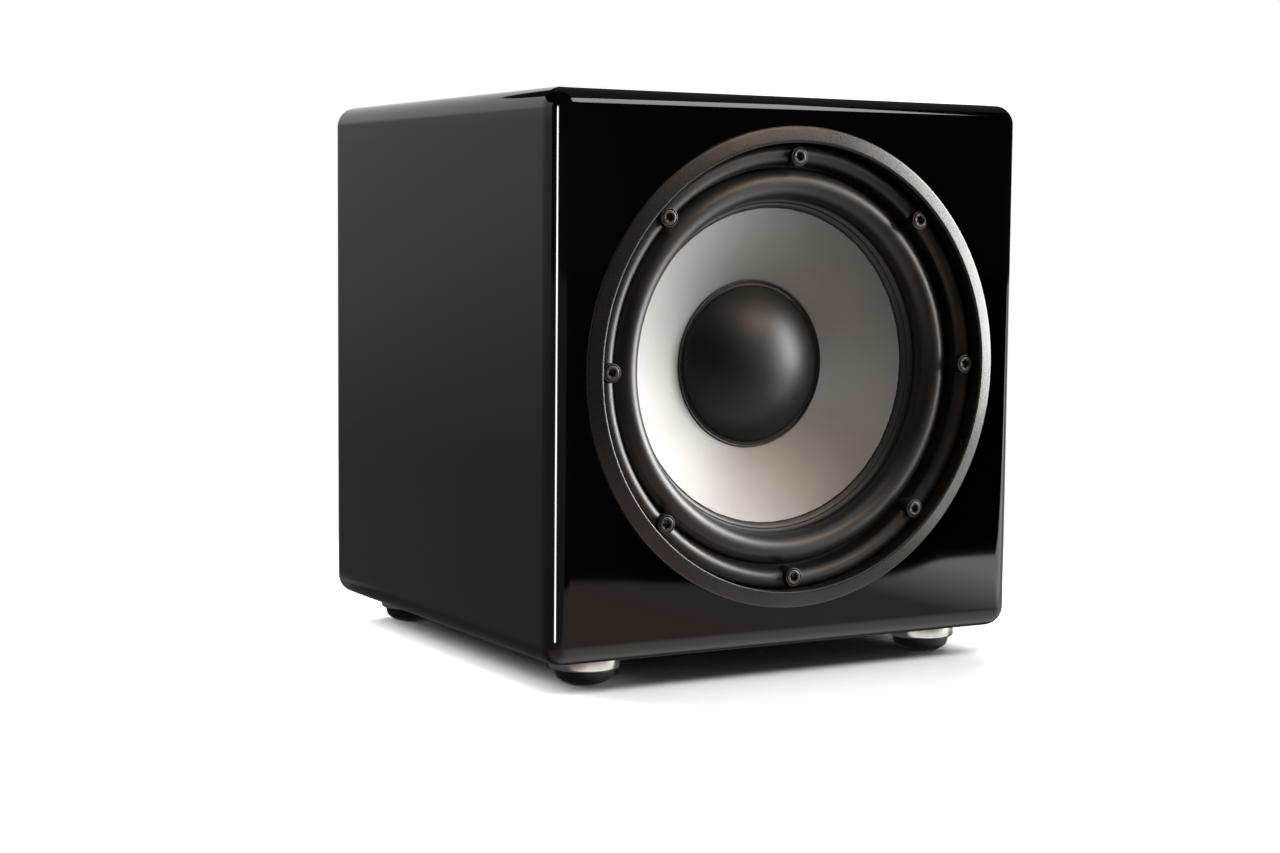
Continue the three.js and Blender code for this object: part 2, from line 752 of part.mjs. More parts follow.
// Speaker lead: from the driver's terminal, through the brace's window, to the circuit board.
function speakerLeadGeometry() {
  const start = FRONT_Y + TERMINAL_DEPTH + 5.5 + GAP;
  const end = BACK_Y + BOARD_FACE - BOARD_THICKNESS - GAP;
  const low = DRIVER_Z + TERMINAL_DROP;
  const route = new THREE.CatmullRomCurve3([
    new THREE.Vector3(0, start, low),
    new THREE.Vector3(0, start + 16, low - 1),
    new THREE.Vector3(4, start + 60, low - 8),
    new THREE.Vector3(14, start + 120, low + 5),
    new THREE.Vector3(26, start + 175, low + 60),
    new THREE.Vector3(30, end - 24, CABINET_Z + 42),
    new THREE.Vector3(30, end - 8, CABINET_Z + 50),
    new THREE.Vector3(30, end, CABINET_Z + 51),
  ]);
  const section = new THREE.Shape();
  section.absarc(0, 0, 2.6, 0, 2 * Math.PI, false);
  const options = { steps: 26, extrudePath: route, curveSegments: 4, bevelEnabled: false };
  return new THREE.ExtrudeGeometry(section, options);
}

piece(subwoofer, "speaker_lead", speakerLeadGeometry(), "black_plastic");

export default subwoofer;
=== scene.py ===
import math

import bmesh
import bpy
import numpy as np
from mathutils import Matrix, Vector


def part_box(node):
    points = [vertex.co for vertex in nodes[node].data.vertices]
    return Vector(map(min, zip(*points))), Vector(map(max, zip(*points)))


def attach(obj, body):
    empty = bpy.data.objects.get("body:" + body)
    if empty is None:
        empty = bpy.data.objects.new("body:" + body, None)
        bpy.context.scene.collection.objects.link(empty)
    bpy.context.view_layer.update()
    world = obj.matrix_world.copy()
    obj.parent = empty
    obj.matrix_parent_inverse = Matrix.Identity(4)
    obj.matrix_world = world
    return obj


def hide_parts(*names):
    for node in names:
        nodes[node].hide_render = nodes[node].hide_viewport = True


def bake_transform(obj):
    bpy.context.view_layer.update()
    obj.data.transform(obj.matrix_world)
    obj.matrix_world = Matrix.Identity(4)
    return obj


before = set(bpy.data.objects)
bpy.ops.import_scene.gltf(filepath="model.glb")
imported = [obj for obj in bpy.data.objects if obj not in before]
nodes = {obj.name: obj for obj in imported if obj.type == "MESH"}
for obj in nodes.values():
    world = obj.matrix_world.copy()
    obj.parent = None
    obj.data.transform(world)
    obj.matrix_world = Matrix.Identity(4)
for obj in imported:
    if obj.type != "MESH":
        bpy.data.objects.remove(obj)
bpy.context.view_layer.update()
scene = bpy.context.scene

# ---- Camera ----
# It stands in front and to the left of the cabinet, a little lower than its top, and looks slightly down.
camera_place = Vector((-0.8394, -1.4540, 0.2944))
camera_heading = math.radians(29.635)
camera_pitch = math.radians(-4.891)
camera_roll = 0.0086
look = Vector((
    math.sin(camera_heading) * math.cos(camera_pitch),
    math.cos(camera_heading) * math.cos(camera_pitch),
    math.sin(camera_pitch),
))
level = look.cross(Vector((0, 0, 1))).normalized()
upright = level.cross(look)
camera_right = level * math.cos(camera_roll) + upright * math.sin(camera_roll)
camera_up = upright * math.cos(camera_roll) - level * math.sin(camera_roll)


def shown(name, data):
    """A new object in the scene that holds this camera, lamp or mesh."""
    made = bpy.data.objects.new(name, data)
    scene.collection.objects.link(made)
    return made


camera_data = bpy.data.cameras.new("camera")
camera_data.lens = 64.714
camera_data.sensor_width = 36
camera = shown("camera", camera_data)
axes = Matrix((camera_right, camera_up, -look)).transposed().to_4x4()
camera.matrix_world = Matrix.Translation(camera_place) @ axes
scene.camera = camera

# ---- Floor and studio light ----
# A wide pale floor with a plain white background, and large soft lamps at the sides and above.
# The lacquer mirrors a painted reflection: to reflected rays the floor glows in a strip just in front of the
# cabinet, is painted dark beneath it, and past that the room is dark.


def add(tree, kind, settings=None, **inputs):
    """A node of that kind. A value goes into the input of that name or number, and an output is linked."""
    made = tree.nodes.new(kind)
    for key, value in (settings or {}).items():
        setattr(made, key, value)
    for key, value in inputs.items():
        socket = made.inputs[int(key[1:]) if key[1:].isdigit() else key.replace("_", " ")]
        if isinstance(value, bpy.types.NodeSocket):
            tree.links.new(value, socket)
        else:
            socket.default_value = value
    return made


def maths(tree, operation, *values, clamp=False):
    """The result of one arithmetic step on values or outputs."""
    numbered = {f"i{i}": value for i, value in enumerate(values)}
    return add(tree, "ShaderNodeMath", {"operation": operation, "use_clamp": clamp}, **numbered).outputs[0]


def ramp(tree, value, low, high, out_low=0.0, out_high=1.0, smooth=False):
    """A value carried from one range to another, and held at its ends."""
    kind = {"interpolation_type": "SMOOTHSTEP" if smooth else "LINEAR"}
    made = add(tree, "ShaderNodeMapRange", kind, Value=value, From_Min=low, From_Max=high,
               To_Min=out_low, To_Max=out_high)
    return made.outputs[0]


def mixed(tree, factor, first, second):
    """A colour between two colours. Each is red, green and blue, or the output of a node."""
    first, second = ((*tone, 1) if isinstance(tone, tuple) else tone for tone in (first, second))
    return add(tree, "ShaderNodeMix", {"data_type": "RGBA"}, i0=factor, i6=first, i7=second).outputs[2]


def new_material(name):
    """An empty material: its tree, its output and an Object-coordinate socket."""
    made = bpy.data.materials.new(name)
    made.use_nodes = True
    tree = made.node_tree
    tree.nodes.clear()
    output = tree.nodes.new("ShaderNodeOutputMaterial")
    place = tree.nodes.new("ShaderNodeTexCoord").outputs["Object"]
    return made, tree, output, place


floor_half = 12.0
floor_mesh = bpy.data.meshes.new("floor")
floor_mesh.from_pydata(
    [(-floor_half, -floor_half, 0), (floor_half, -floor_half, 0),
     (floor_half, floor_half, 0), (-floor_half, floor_half, 0)], [], [(0, 1, 2, 3)])
floor = shown("floor", floor_mesh)

floor_finish, tree, output, place = new_material("floor_white")
rays = tree.nodes.new("ShaderNodeLightPath").outputs
floor_tone = mixed(tree, rays["Is Camera Ray"], (0.5, 0.5, 0.5), (4.6, 4.6, 4.6))
floor_paint = add(tree, "ShaderNodeBsdfDiffuse", Color=floor_tone)
floor_glow = add(tree, "ShaderNodeEmission", Color=(1, 1, 1, 1), Strength=1.0)
apart = add(tree, "ShaderNodeSeparateXYZ", Vector=place).outputs
away = add(tree, "ShaderNodeVectorMath", {"operation": "LENGTH"}, Vector=place).outputs["Value"]
far_camera = maths(tree, "MULTIPLY", ramp(tree, away, 0.36, 0.62, smooth=True), rays["Is Camera Ray"])
lit = add(tree, "ShaderNodeMixShader", Fac=far_camera, i1=floor_paint.outputs[0], i2=floor_glow.outputs[0])
# The painted reflection's strip ends on a gentle curve, 0.3 to 0.4 m in front of the cabinet, and stops at
# its left side. Beneath the cabinet it is painted shade.
left_edge, front_edge = -0.19, -0.185
warm_strip, plain_strip, bright_strip = (0.56, 0.41, 0.35), (0.46, 0.46, 0.41), (2.6, 2.7, 2.6)
near_side = ramp(tree, apart["X"], 0.02, 0.22, -0.62, -0.515, smooth=True)
far_side = ramp(tree, apart["X"], 0.30, 0.44, 0.0, -0.065, smooth=True)
beyond = maths(tree, "SUBTRACT", apart["Y"], maths(tree, "ADD", near_side, far_side))
blur = ramp(tree, apart["X"], 0.05, 0.40, 0.06, 0.008)
past_front = ramp(tree, maths(tree, "DIVIDE", beyond, blur), 0.5, -0.5, smooth=True)
past_left = ramp(tree, apart["X"], left_edge, left_edge - 0.07, smooth=True)
painted_strip_tone = mixed(tree, ramp(tree, apart["X"], 0.03, 0.17), warm_strip, plain_strip)
painted_strip_tone = mixed(tree, ramp(tree, apart["X"], 0.25, 0.41), painted_strip_tone, bright_strip)
painted_reflection = mixed(tree, past_front, painted_strip_tone, (0.004, 0.004, 0.004))
outside = ramp(tree, maths(tree, "MAXIMUM", apart["X"], apart["Y"]), 0.185, 0.26, smooth=True)
around_it = mixed(tree, outside, (0.08, 0.08, 0.08), (0.5, 0.5, 0.5))
under_it = ramp(tree, apart["Y"], front_edge, front_edge + 0.02, smooth=True)
painted_reflection = mixed(tree, under_it, painted_reflection, around_it)
painted_reflection = mixed(tree, past_left, painted_reflection, (0.15, 0.155, 0.145))
# Nearest the cabinet the painted reflection glows brightest, for its rounded bottom edge to mirror as a
# painted highlight; the lit floor there lies in the cabinet's shadow.
in_front = maths(tree, "MULTIPLY", ramp(tree, apart["Y"], -0.30, -0.215, smooth=True),
                 ramp(tree, apart["Y"], front_edge + 0.015, front_edge, smooth=True))
painted_glow_near_cabinet = maths(tree, "MULTIPLY", in_front, ramp(tree, apart["X"], left_edge, left_edge + 0.03, smooth=True))
painted_reflection = mixed(tree, painted_glow_near_cabinet, painted_reflection, (1.1, 1.1, 1.05))
painted_floor_reflection = add(tree, "ShaderNodeEmission", Strength=1.0, Color=painted_reflection)
# The painted reflection shows to the first reflected bounce alone; camera rays and later bounces see the lit
# floor.
first = maths(tree, "LESS_THAN", rays["Ray Depth"], 1.5)
first_bounce = maths(tree, "MULTIPLY", rays["Is Glossy Ray"], first)
shown_floor = add(tree, "ShaderNodeMixShader", Fac=first_bounce, i1=lit.outputs[0],
                  i2=painted_floor_reflection.outputs[0])
tree.links.new(shown_floor.outputs[0], output.inputs["Surface"])
floor_mesh.materials.append(floor_finish)

world = bpy.data.worlds.new("studio")
scene.world = world
world.use_nodes = True
tree = world.node_tree
tree.nodes.clear()
rays = tree.nodes.new("ShaderNodeLightPath").outputs
room = add(tree, "ShaderNodeBackground", Color=(1, 1, 1, 1), Strength=0.02)
white = add(tree, "ShaderNodeBackground", Color=(1, 1, 1, 1), Strength=1.0)
seen = add(tree, "ShaderNodeMixShader", Fac=rays["Is Camera Ray"], i1=room.outputs[0], i2=white.outputs[0])
tree.links.new(seen.outputs[0], add(tree, "ShaderNodeOutputWorld").inputs["Surface"])
scene.view_settings.view_transform = "Standard"


def lamp(name, place, target, width, height, power, colour=(1, 1, 1)):
    """A soft rectangular lamp at a place, turned to face a target."""
    data = bpy.data.lights.new(name, "AREA")
    data.shape = "RECTANGLE"
    data.size, data.size_y = width, height
    data.energy = power
    data.color = colour
    made = shown(name, data)
    made.location = place
    made.rotation_euler = (Vector(target) - Vector(place)).to_track_quat("-Z", "Y").to_euler()
    made.visible_camera = False
    return made


front_middle = (0, -0.19, 0.2)
lamp_above = lamp("lamp_above", (0.1, -0.3, 1.7), (0.0, -0.1, 0), width=1.9, height=1.7, power=9)
lamp_right = lamp("lamp_right", (1.55, -0.66, 0.45), front_middle, width=0.95, height=1.25, power=70)
lamp_front_high = lamp("lamp_front_high", (0.7, -1.35, 1.25), front_middle, width=0.7, height=0.5, power=7.4,
                       colour=(1.0, 0.73, 0.53))
lamp_back_left = lamp("lamp_back_left", (-1.3, 1.9, 1.3), (0, 0, 0.2), width=1.8, height=1.2, power=24)
lamp_left = lamp("lamp_left_fill", (-0.9, -1.4, 0.55), front_middle, width=0.8, height=0.6, power=5)
lamp("lamp_back_right", (1.5, 1.7, 1.2), (0, 0.1, 0.2), width=1.4, height=1.2, power=26)
strip = lamp("lamp_edge_strip", (-0.302, -0.281, 0.185), (-0.18, -0.19, 0.185), width=0.034, height=0.46,
             power=1.2)
band = lamp("lamp_top_band", (0.58, -0.92, 1.21), (-0.05, -0.19, 0.38), width=0.54, height=0.42, power=4.4)
ceiling = lamp("lamp_ceiling", (0.7, 0.3, 1.75), (0.4, 0.1, 0), width=2.2, height=1.9, power=1.5)

# A dim card stands on the left and behind and glows, brighter towards its top, as a painted reflection for
# the lacquer to mirror; only reflected rays see it.
card_mesh = bpy.data.meshes.new("mirror_card")
card_line = [(-1.75, -0.35), (-1.75, 0.55), (-0.4, 1.35), (1.3, 1.35)]
card_top = 1.1
card_mesh.from_pydata([(x, y, z) for z in (0, card_top) for x, y in card_line], [],
                      [(i, i + 1, i + 5, i + 4) for i in range(3)])
card = shown("mirror_card", card_mesh)
for ray in ("camera", "diffuse", "transmission", "shadow", "volume_scatter"):
    setattr(card, f"visible_{ray}", False)
card_finish, tree, output, place = new_material("card_glow")
rise = add(tree, "ShaderNodeSeparateXYZ", Vector=place).outputs["Z"]
low_glow = mixed(tree, ramp(tree, rise, 0.02, 0.42), (0.150, 0.155, 0.150), (0.42, 0.42, 0.40))
glow = mixed(tree, ramp(tree, rise, 0.44, 0.62, smooth=True), low_glow, (0.95, 0.95, 0.92))
tree.links.new(add(tree, "ShaderNodeEmission", Color=glow, Strength=1.0).outputs[0], output.inputs["Surface"])
card_mesh.materials.append(card_finish)

# ---- Cabinet shell ----
# The box is 22 mm board with a 25 mm baffle, mitred, rounded on every outside edge and opened behind
# for the amplifier. It is lacquered in deep black and polished until it mirrors the room.
mm = 0.001
shell_low, shell_high = (np.array(corner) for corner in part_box("cabinet_shell"))
front_y, back_y = shell_low[1], shell_high[1]
cabinet_middle = (shell_low + shell_high) / 2
shell_half = (shell_high[0] - shell_low[0]) / 2
edge_radius = 14 * mm
wall, baffle = 22 * mm, 25 * mm
driver_hole, amp_hole = 150.4 * mm, 113 * mm
driver_middle = np.array([0, front_y, (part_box("trim_ring")[0].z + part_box("trim_ring")[1].z) / 2])


def outline(half_x, half_z, radius, along=40, round_corner=10):
    """A rectangle with round corners, as points that run once round it.

    A corner's points are its centre plus radius times (cos, sin) of evenly spaced angles. Between two corners
    they stand where evenly spaced angles from the middle meet the straight side.
    """
    quarter = np.linspace(0, math.pi / 2, round_corner)
    spread = np.tan(np.linspace(-math.pi / 4, math.pi / 4, along + 2)[1:-1])
    parts = []
    for turn in range(4):
        angle = quarter + turn * math.pi / 2
        sign_x, sign_z = ((1, 1), (-1, 1), (-1, -1), (1, -1))[turn]
        corner = np.array([sign_x * (half_x - radius), sign_z * (half_z - radius)])
        parts.append(corner + radius * np.stack([np.cos(angle), np.sin(angle)], -1))
        reach_x, reach_z = (half_x - radius) * spread, (half_z - radius) * spread
        flat_x, flat_z = np.full(along, half_x), np.full(along, half_z)
        side = ((-reach_x, flat_z), (-flat_x, -reach_z), (reach_x, -flat_z), (flat_x, reach_z))[turn]
        parts.append(np.stack(side, -1))
    return np.concatenate(parts)


def skin(name, grid, loop=True, crease=35):
    """A mesh over a grid of points, rows by columns. The columns wrap round, and rows do for a closed loop.

    Points that fall together become one, faces that lose a side become triangles, and the whole is turned
    so that the volume under its faces is positive, which points them outwards.
    """
    rows, columns, _ = grid.shape
    index = np.arange(rows * columns).reshape(rows, columns)
    if loop:
        index = np.vstack([index, index[:1]])
    index = np.hstack([index, index[:, :1]])
    quads = np.stack([index[:-1, :-1], index[:-1, 1:], index[1:, 1:], index[1:, :-1]], -1).reshape(-1, 4)
    rounded = np.round(grid.reshape(-1, 3) / 1e-7).astype(np.int64)
    _, first, same = np.unique(rounded, axis=0, return_index=True, return_inverse=True)
    points = grid.reshape(-1, 3)[first]
    quads = same.reshape(-1)[quads]
    repeated = quads == np.roll(quads, -1, axis=1)
    whole = quads[repeated.sum(1) == 0]
    whole = whole[(whole[:, 0] != whole[:, 2]) & (whole[:, 1] != whole[:, 3])]
    halved = repeated.sum(1) == 1
    triangles = quads[halved][~repeated[halved]].reshape(-1, 3)
    fans = np.concatenate([whole[:, [0, 1, 2]], whole[:, [0, 2, 3]], triangles])
    a, b, c = (points[fans[:, i]] - points.mean(0) for i in range(3))
    if np.einsum("ij,ij->i", a, np.cross(b, c)).sum() < 0:
        whole, triangles = whole[:, ::-1], triangles[:, ::-1]
    mesh = bpy.data.meshes.new(name)
    mesh.from_pydata(points.tolist(), [], whole.tolist() + triangles.tolist())
    mesh.polygons.foreach_set("use_smooth", np.ones(len(mesh.polygons), bool))
    mesh.set_sharp_from_angle(angle=math.radians(crease))
    return shown(name, mesh)


def shell_rings():
    """The shell as closed rings, from the baffle's hole over the outside to the room behind the baffle.

    On a rounded edge the ring at angle t is a rounded square: its half width is the flat face's plus the edge
    radius times sin t, its corners have that same radius times sin t, and it lies the edge radius times
    (1 - cos t) behind the face.
    """
    flat = shell_half - edge_radius
    edge = np.linspace(0, math.pi / 2, 15)
    lift = driver_middle[2] - cabinet_middle[2]
    square = outline(1, 1, 0)
    unit = square / np.linalg.norm(square, axis=1)[:, None]
    guard = 0.6 * mm  # a narrow row beside each edge keeps the faces flat
    rings = []

    def ring(flat_points, y, up=0.0):
        """Keeps one ring: flat points at a depth y, raised by up."""
        rings.append(np.stack([flat_points[:, 0] + cabinet_middle[0], np.full(len(flat_points), y),
                               flat_points[:, 1] + cabinet_middle[2] + up], -1))

    ring(unit * driver_hole, front_y + baffle, lift)
    ring(unit * driver_hole, front_y, lift)
    ring(unit * (driver_hole + guard), front_y, lift)
    ring(outline(flat - guard, flat - guard, 0), front_y)
    for angle in edge:
        bulge = edge_radius * math.sin(angle)
        ring(outline(flat + bulge, flat + bulge, bulge), front_y + edge_radius * (1 - math.cos(angle)))
    ring(outline(shell_half, shell_half, edge_radius), front_y + edge_radius + guard)
    ring(outline(shell_half, shell_half, edge_radius), back_y - edge_radius - guard)
    for angle in edge[::-1]:
        bulge = edge_radius * math.sin(angle)
        ring(outline(flat + bulge, flat + bulge, bulge), back_y - edge_radius * (1 - math.cos(angle)))
    ring(outline(flat - guard, flat - guard, 0), back_y)
    ring(outline(amp_hole, amp_hole, 0), back_y)
    ring(outline(amp_hole, amp_hole, 0), back_y - wall)
    room_half = shell_half - wall
    ring(outline(room_half, room_half, 0), back_y - wall)
    ring(outline(room_half, room_half, 0), front_y + baffle)
    return np.stack(rings)


def group(name, inputs, outputs):
    """A node group with named inputs, given with their first values, and named outputs."""
    made = bpy.data.node_groups.new(name, "ShaderNodeTree")
    for label, value in inputs.items():
        kind = "NodeSocketVector" if label == "Place" else "NodeSocketFloat"
        socket = made.interface.new_socket(label, in_out="INPUT", socket_type=kind)
        if value is not None:
            socket.default_value = value
    for label in outputs:
        made.interface.new_socket(label, in_out="OUTPUT", socket_type="NodeSocketFloat")
    return made, made.nodes.new("NodeGroupInput").outputs, made.nodes.new("NodeGroupOutput").inputs


# Uneven: slow cloudy change over the surface, from 0 to 1, as in polish, dust and the thickness of a coat.
uneven, given, result = group("uneven", {"Place": None, "Size": 0.05, "Detail": 2.0}, ["Amount"])
cloud = add(uneven, "ShaderNodeTexNoise", Vector=given["Place"], Detail=given["Detail"], Roughness=0.55,
            Scale=maths(uneven, "DIVIDE", 1.0, given["Size"]))
uneven.links.new(ramp(uneven, cloud.outputs[0], 0.3, 0.7), result["Amount"])

# Grain: the fine random texture of powder coat, moulded plastic and bead-blasted metal.
grain, given, result = group("grain", {"Place": None, "Size": 0.0004}, ["Height"])
fine = add(grain, "ShaderNodeTexNoise", Vector=given["Place"], Detail=2.5, Roughness=0.7,
           Scale=maths(grain, "DIVIDE", 1.0, given["Size"]))
grain.links.new(ramp(grain, fine.outputs[0], 0.25, 0.75), result["Height"])


def placed(tree, made_group, **values):
    """A node group placed in a material with its own values."""
    return add(tree, "ShaderNodeGroup", {"node_tree": made_group}, **values).outputs


def cloudy(tree, place, size, detail=3.0):
    """The slow cloudy change, from 0 to 1."""
    return placed(tree, uneven, Place=place, Size=size, Detail=detail)["Amount"]


def grainy(tree, place, size):
    """The height of the fine grain, from 0 to 1."""
    return placed(tree, grain, Place=place, Size=size)["Height"]


def surfaced(tree, output, tone, rough, relief=None, depth=0.0, **sockets):
    """Ends a material in its shader, with a colour, a roughness and a relief of `depth` metres."""
    shader = add(tree, "ShaderNodeBsdfPrincipled", Base_Color=tone, Roughness=rough, **sockets)
    if relief is not None:
        bump = add(tree, "ShaderNodeBump", Height=relief, Distance=depth, Strength=1.0)
        tree.links.new(bump.outputs[0], shader.inputs["Normal"])
    tree.links.new(shader.outputs[0], output.inputs["Surface"])


def finish(name, dark, light, rough, cloud_size, grain_size=None, depth=0.0, detail=3.0, by_grain=False,
           **sockets):
    """A painted, moulded or metal finish.

    Its colour drifts between two tones with a cloud, and its roughness between two values with the cloud or
    with the grain. The grain lifts the surface by `depth` metres.
    """
    made, tree, output, place = new_material(name)
    amount = cloudy(tree, place, cloud_size, detail)
    height = grainy(tree, place, grain_size) if grain_size else None
    surfaced(tree, output, mixed(tree, amount, dark, light),
             ramp(tree, height if by_grain else amount, 0, 1, *rough), height, depth, **sockets)
    return made


def dress(piece, material, body, stands_for=()):
    """Gives a piece its material and body, and hides the CAD nodes that it stands for."""
    piece.data.materials.clear()
    piece.data.materials.append(material)
    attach(piece, body)
    if stands_for:
        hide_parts(*stands_for)
    return piece


# Piano lacquer: black under a polished clear face with a very faint ripple left by the buffing.
lacquer, tree, output, place = new_material("black_lacquer")
haze, ripple = cloudy(tree, place, 0.09), cloudy(tree, place, 0.03, detail=0.0)
surfaced(tree, output, mixed(tree, haze, (0.0007, 0.0007, 0.0008), (0.0013, 0.0012, 0.0012)),
         ramp(tree, haze, 0, 1, 0.025, 0.06), ripple, depth=0.000006, IOR=1.5)
shell = dress(skin("lacquered_shell", shell_rings()), lacquer, "cabinet", ["cabinet_shell"])


def soft_edged(light, strength):
    """Makes a lamp bright along its middle and dark at its rim, with a smooth fall over half its width and a
    shorter one at both ends."""
    light.data.use_nodes = True
    tree = light.data.node_tree
    tree.nodes.clear()
    across_lamp = add(tree, "ShaderNodeNewGeometry").outputs["Parametric"]
    spot = add(tree, "ShaderNodeSeparateXYZ", Vector=across_lamp).outputs
    share = []
    for axis, inner in (("X", 0.05), ("Y", 0.42)):
        from_middle = maths(tree, "ABSOLUTE", maths(tree, "SUBTRACT", spot[axis], 0.5))
        share.append(ramp(tree, from_middle, 0.5, inner, smooth=True))
    glow = add(tree, "ShaderNodeEmission", Color=(1, 1, 1, 1),
               Strength=maths(tree, "MULTIPLY", maths(tree, "MULTIPLY", *share), strength))
    tree.links.new(glow.outputs[0], add(tree, "ShaderNodeOutputLight").inputs["Surface"])


def aimed_at(light, pieces, state):
    """Lets a lamp reach these pieces alone ("INCLUDE"), or every piece but these ("EXCLUDE")."""
    reached = bpy.data.collections.new(f"{light.name}_reach")
    for one in pieces:
        reached.objects.link(one)
    for member in reached.collection_objects:
        member.light_linking.link_state = state
    light.light_linking.receiver_collection = reached


# Three lamps draw the light lines on the rounded edges. Those that would flood the panels pass them by.
for drawn in (strip, band, ceiling):
    aimed_at(drawn, [shell], "INCLUDE")
soft_edged(strip, 1.5)
for flooding in (lamp_above, lamp_back_left):
    aimed_at(flooding, [shell], "EXCLUDE")
for low in (lamp_right, lamp_front_high):
    aimed_at(low, [shell, floor], "EXCLUDE")

# ---- Feet ----
# Each foot is a polished steel collar under the cabinet with a moulded rubber pad, held by one screw
# that goes up through both into the bottom panel.


def recoat(node, material):
    """Gives a CAD node that stays in view its material."""
    nodes[node].data.materials.clear()
    nodes[node].data.materials.append(material)


def eased(corners, size, steps=4):
    """A closed outline with each corner eased into a short curve.

    The curve leaves one side `size` before the corner and joins the next side `size` after it, as a parabola
    with the corner for its control point. A size may be given for each corner, and 0 keeps a corner sharp.
    """
    corners = np.array(corners, float)
    size = np.broadcast_to(np.asarray(size, float), len(corners))[:, None]
    before, after = np.roll(corners, 1, 0) - corners, np.roll(corners, -1, 0) - corners
    span_before, span_after = (np.linalg.norm(v, axis=1)[:, None] for v in (before, after))
    start = corners + before / span_before * np.minimum(size, 0.48 * span_before)
    end = corners + after / span_after * np.minimum(size, 0.48 * span_after)
    t = np.linspace(0, 1, steps + 1)[None, :, None]
    curve = (1 - t) ** 2 * start[:, None] + 2 * t * (1 - t) * corners[:, None] + t ** 2 * end[:, None]
    return curve.reshape(-1, 2)


def turned(name, profile, centre, axis, steps=96, loop=True, crease=35):
    """A full turn of an outline of [radius, height] in millimetres about axis "y" or "z" through a centre.

    A point at angle a is the centre, plus the radius times (cos a, sin a) across the axis, plus the height
    along it. A profile whose ends lie on the axis closes in two poles instead of a loop.
    """
    profile = np.array(profile, float) * mm
    a = np.linspace(0, 2 * math.pi, steps, endpoint=False)[None, :]
    across_1, across_2 = profile[:, :1] * np.cos(a), profile[:, :1] * np.sin(a)
    height = np.repeat(profile[:, 1:], steps, 1)
    order = (across_1, height, across_2) if axis == "y" else (across_1, across_2, height)
    return skin(name, np.stack(order, -1) + np.asarray(centre), loop, crease)


collar_steel, tree, output, place = new_material("polished_collar_steel")
smear = cloudy(tree, place, 0.006, detail=4.0)
lathe_marks = add(tree, "ShaderNodeTexWave", {"wave_type": "BANDS", "bands_direction": "Z"}, Vector=place,
                  Scale=700.0, Distortion=1.5, Detail=1.0)
surfaced(tree, output, mixed(tree, smear, (0.58, 0.57, 0.56), (0.70, 0.69, 0.68)),
         ramp(tree, smear, 0, 1, 0.13, 0.24), lathe_marks.outputs[1], depth=0.000004, Metallic=1.0)
foot_rubber = finish("foot_rubber", (0.010, 0.010, 0.010), (0.018, 0.017, 0.017), rough=(0.42, 0.6),
                     cloud_size=0.01, grain_size=0.0005, depth=0.00003)
zinc_screw = finish("zinc_screw", (0.36, 0.36, 0.38), (0.55, 0.55, 0.57), rough=(0.28, 0.42),
                    cloud_size=0.004, grain_size=0.0003, depth=0.00001, Metallic=1.0)
collar_profile = eased([[3.5, 9.5], [22.2, 9.5], [23, 10.4], [23, 17.7], [3.5, 17.7]],
                       [0.2, 0.4, 0.5, 0.7, 0.2])
pad_profile = eased([[6.5, 0], [13.5, 0], [18.6, 3.2], [20, 9.2], [3.5, 9.2], [3.5, 5.8], [6.5, 5.8]],
                    [0.5, 1.4, 2.0, 0.7, 0.2, 0.2, 0.2], 6)
for place_name in ("front_left", "front_right", "back_left", "back_right"):
    low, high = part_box(f"foot_collar_{place_name}")
    centre = ((low.x + high.x) / 2, (low.y + high.y) / 2, 0)
    dress(turned(f"collar_{place_name}", collar_profile, centre, "z"), collar_steel, "cabinet",
          [f"foot_collar_{place_name}"])
    dress(turned(f"rubber_pad_{place_name}", pad_profile, centre, "z"), foot_rubber, "cabinet",
          [f"foot_pad_{place_name}"])
    recoat(f"foot_screw_{place_name}", zinc_screw)

# ---- Driver frame ----
# The basket is cast aluminium, painted black, with six windows behind the cone. It is screwed through a foam
# seal to the baffle and its doubler.
cast_paint = finish("cast_frame_paint", (0.012, 0.012, 0.012), (0.022, 0.021, 0.021), rough=(0.38, 0.55),
                    cloud_size=0.02, grain_size=0.0006, depth=0.00005, Metallic=0.3)
foam = finish("foam_seal", (0.012, 0.012, 0.013), (0.03, 0.03, 0.03), rough=(0.9, 1.0), cloud_size=0.004,
              grain_size=0.0009, depth=0.0002)
recoat("driver_basket", cast_paint)
recoat("mounting_seal", foam)
recoat("amp_seal", foam)

# ---- Trim ring ----
# A spun metal ring covers the edge of the driver's hole. Its face slopes outwards, and it has a fine satin
# powder coat that catches the light along both of its turned edges.
trim_coat = finish("trim_powder_coat", (0.041, 0.040, 0.040), (0.057, 0.056, 0.055), rough=(0.21, 0.33),
                   cloud_size=0.03, grain_size=0.00045, depth=0.00003, by_grain=True, Metallic=0.6,
                   Specular_IOR_Level=0.7)
trim_profile = eased([[158.8, -0.3], [158.8, -2.3], [157.9, -2.85], [149.4, -4.6], [148.0, -4.3],
                      [147.8, -3.4], [147.8, 18.6], [149.8, 18.6], [149.8, -0.3]],
                     [0.05, 0.5, 0.7, 0.5, 0.5, 0.3, 0.2, 0.2, 0.2], 5)
dress(turned("trim_ring_satin", trim_profile, driver_middle, "y", steps=384), trim_coat, "cabinet",
      ["trim_ring"])

# ---- Clamp gasket ----
# A moulded rubber bead holds the edge of the surround against the basket. Eight collars are moulded in it,
# each a cup for the head of a screw.
screw_circle, screw_count = 139 * mm, 8
screw_angles = np.arange(screw_count) * 2 * math.pi / screw_count
screw_places = [driver_middle + screw_circle * np.array([math.sin(a), 0, math.cos(a)]) for a in screw_angles]


